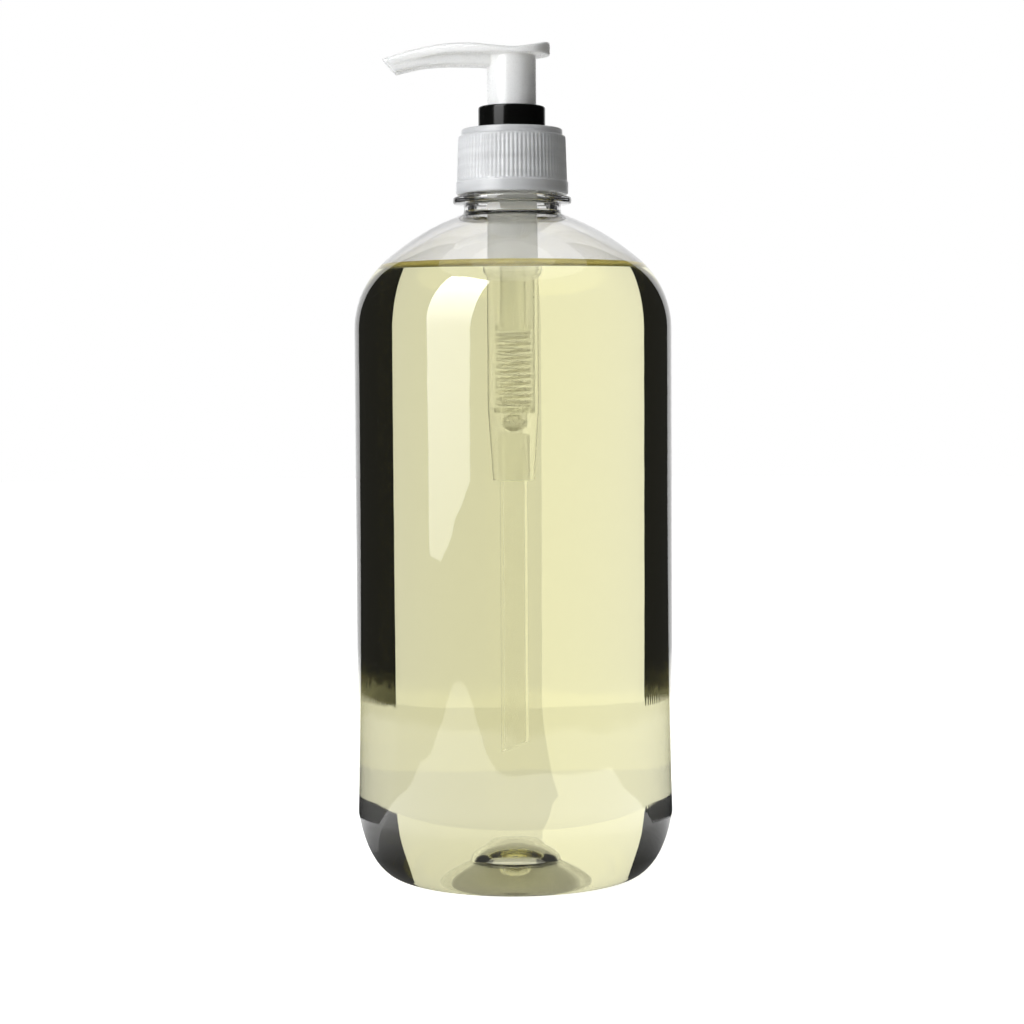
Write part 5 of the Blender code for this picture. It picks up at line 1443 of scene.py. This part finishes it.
def build_highlight(studio, camera):
    """The softbox as gloss shows it, fading towards its foot."""
    turn = studio.softbox_turn
    outward = Vector((-math.sin(turn), -math.cos(turn), 0.0))
    half_width = 0.25
    sideways = Vector((-math.cos(turn), math.sin(turn), 0.0)) * half_width
    foot = outward * 0.88 + Vector((0.0, 0.0, 0.03))
    head = outward * 0.58 + Vector((0.0, 0.0, 1.06))
    material, tree = new_material("softbox cloth")
    place = add_node(tree, "ShaderNodeTexCoord").outputs["Object"]
    height = add_node(tree, "ShaderNodeSeparateXYZ", {0: place}).outputs["Z"]
    fade = add_node(tree, "ShaderNodeMapRange", {
        "Value": height, "From Min": 0.02, "From Max": 1.1, "To Min": 0.62, "To Max": 3.2})
    strength = add_node(tree, MATH, {0: fade, 1: studio.key_radiance}, operation="MULTIPLY")
    glow = add_node(tree, "ShaderNodeEmission", {"Color": WHITE, "Strength": strength})
    add_node(tree, "ShaderNodeOutputMaterial", {"Surface": glow})
    # The lowest part narrows towards the foot, and its edges are ragged
    ragged_share = 0.16
    narrow_share = 0.05
    steps = 200
    rows = []
    for step in range(steps + 1):
        share = ragged_share * step / steps
        middle = foot.lerp(head, share)
        near = min(share / narrow_share, 1.0)
        left = sideways * (0.4 - 1.4 * near + 0.07 * ragged(step))
        rows.append((middle + left, middle + sideways * (1.0 - 0.05 * ragged(step + 3))))
    rows.append((head - sideways, head + sideways))
    card("card_softbox", rows, material, camera, True, False)


# Operators

def settings_of(context):
    """The scene's pump bottle settings."""
    return context.scene.pump_bottle


class PUMPBOTTLE_OT_bottle(Operator):
    """Blow the clear bottle, with its threaded neck and push-up base"""
    bl_idname = "pump_bottle.bottle"
    bl_label = "Bottle"

    def execute(self, context):
        settings = settings_of(context)
        build_bottle(settings.bottle, settings.colours)
        return {"FINISHED"}


class PUMPBOTTLE_OT_liquid(Operator):
    """Fill the bottle with sanitizer gel"""
    bl_idname = "pump_bottle.liquid"
    bl_label = "Liquid"

    def execute(self, context):
        settings = settings_of(context)
        build_liquid(settings.bottle, settings.colours)
        return {"FINISHED"}


class PUMPBOTTLE_OT_closure(Operator):
    """Mould the ribbed screw closure and the black collar"""
    bl_idname = "pump_bottle.closure"
    bl_label = "Closure and collar"

    def execute(self, context):
        settings = settings_of(context)
        build_closure(settings.closure, settings.bottle, settings.colours)
        build_collar(settings.closure, settings.pump, settings.actuator, settings.colours)
        return {"FINISHED"}


class PUMPBOTTLE_OT_pump(Operator):
    """Mould the pump's housing, valves, piston group and dip tube, and wind its spring"""
    bl_idname = "pump_bottle.pump"
    bl_label = "Pump"

    def execute(self, context):
        settings = settings_of(context)
        build_housing(settings.pump, settings.bottle, settings.actuator, settings.colours)
        build_fittings(settings.pump, settings.colours)
        build_spring(settings.pump, settings.colours)
        build_piston(settings.pump, settings.colours)
        return {"FINISHED"}


class PUMPBOTTLE_OT_actuator(Operator):
    """Mould the pressed head with its finger plate and spout"""
    bl_idname = "pump_bottle.actuator"
    bl_label = "Actuator"

    def execute(self, context):
        settings = settings_of(context)
        build_actuator(settings.actuator, settings.pump, settings.colours)
        return {"FINISHED"}


class PUMPBOTTLE_OT_studio(Operator):
    """Set up the white floor, the soft light, the cards and the camera"""
    bl_idname = "pump_bottle.studio"
    bl_label = "Studio"

    def execute(self, context):
        studio = settings_of(context).studio
        context.scene.view_settings.view_transform = "Standard"
        context.scene.cycles.max_bounces = 32
        context.scene.cycles.transmission_bounces = 32
        build_world(studio)
        build_floor()
        camera = build_camera(studio)
        build_cards(studio, camera)
        build_softbox(studio)
        build_highlight(studio, camera)
        return {"FINISHED"}


class PUMPBOTTLE_PT_panel(Panel):
    """Lists the builders of the pump bottle"""
    bl_idname = "PUMPBOTTLE_PT_panel"
    bl_label = "Pump Bottle"
    bl_space_type = "VIEW_3D"
    bl_region_type = "UI"
    bl_category = "Pump Bottle"

    def draw(self, context):
        for operator in OPERATORS:
            self.layout.operator(operator.bl_idname)
        settings = settings_of(context)
        for group in (settings.bottle, settings.closure, settings.pump, settings.actuator, settings.colours,
                      settings.studio):
            box = self.layout.box()
            for name in group.__annotations__:
                box.prop(group, name)


OPERATORS = (PUMPBOTTLE_OT_bottle, PUMPBOTTLE_OT_liquid, PUMPBOTTLE_OT_closure, PUMPBOTTLE_OT_pump,
             PUMPBOTTLE_OT_actuator, PUMPBOTTLE_OT_studio)
GROUPS = (BottleShape, ClosureShape, PumpShape, ActuatorShape, FinishColours, StudioSettings,
          PumpBottleSettings)


def register():
    """Register the settings, operators and panel."""
    for item in GROUPS + OPERATORS + (PUMPBOTTLE_PT_panel,):
        bpy.utils.register_class(item)
    bpy.types.Scene.pump_bottle = PointerProperty(type=PumpBottleSettings)


def unregister():
    """Remove what register added."""
    del bpy.types.Scene.pump_bottle
    for item in reversed(GROUPS + OPERATORS + (PUMPBOTTLE_PT_panel,)):
        bpy.utils.unregister_class(item)


def main():
    """Build every piece and the studio."""
    register()
    bpy.ops.pump_bottle.bottle()
    bpy.ops.pump_bottle.liquid()
    bpy.ops.pump_bottle.closure()
    bpy.ops.pump_bottle.pump()
    bpy.ops.pump_bottle.actuator()
    bpy.ops.pump_bottle.studio()


if __name__ == "__main__":
    main()
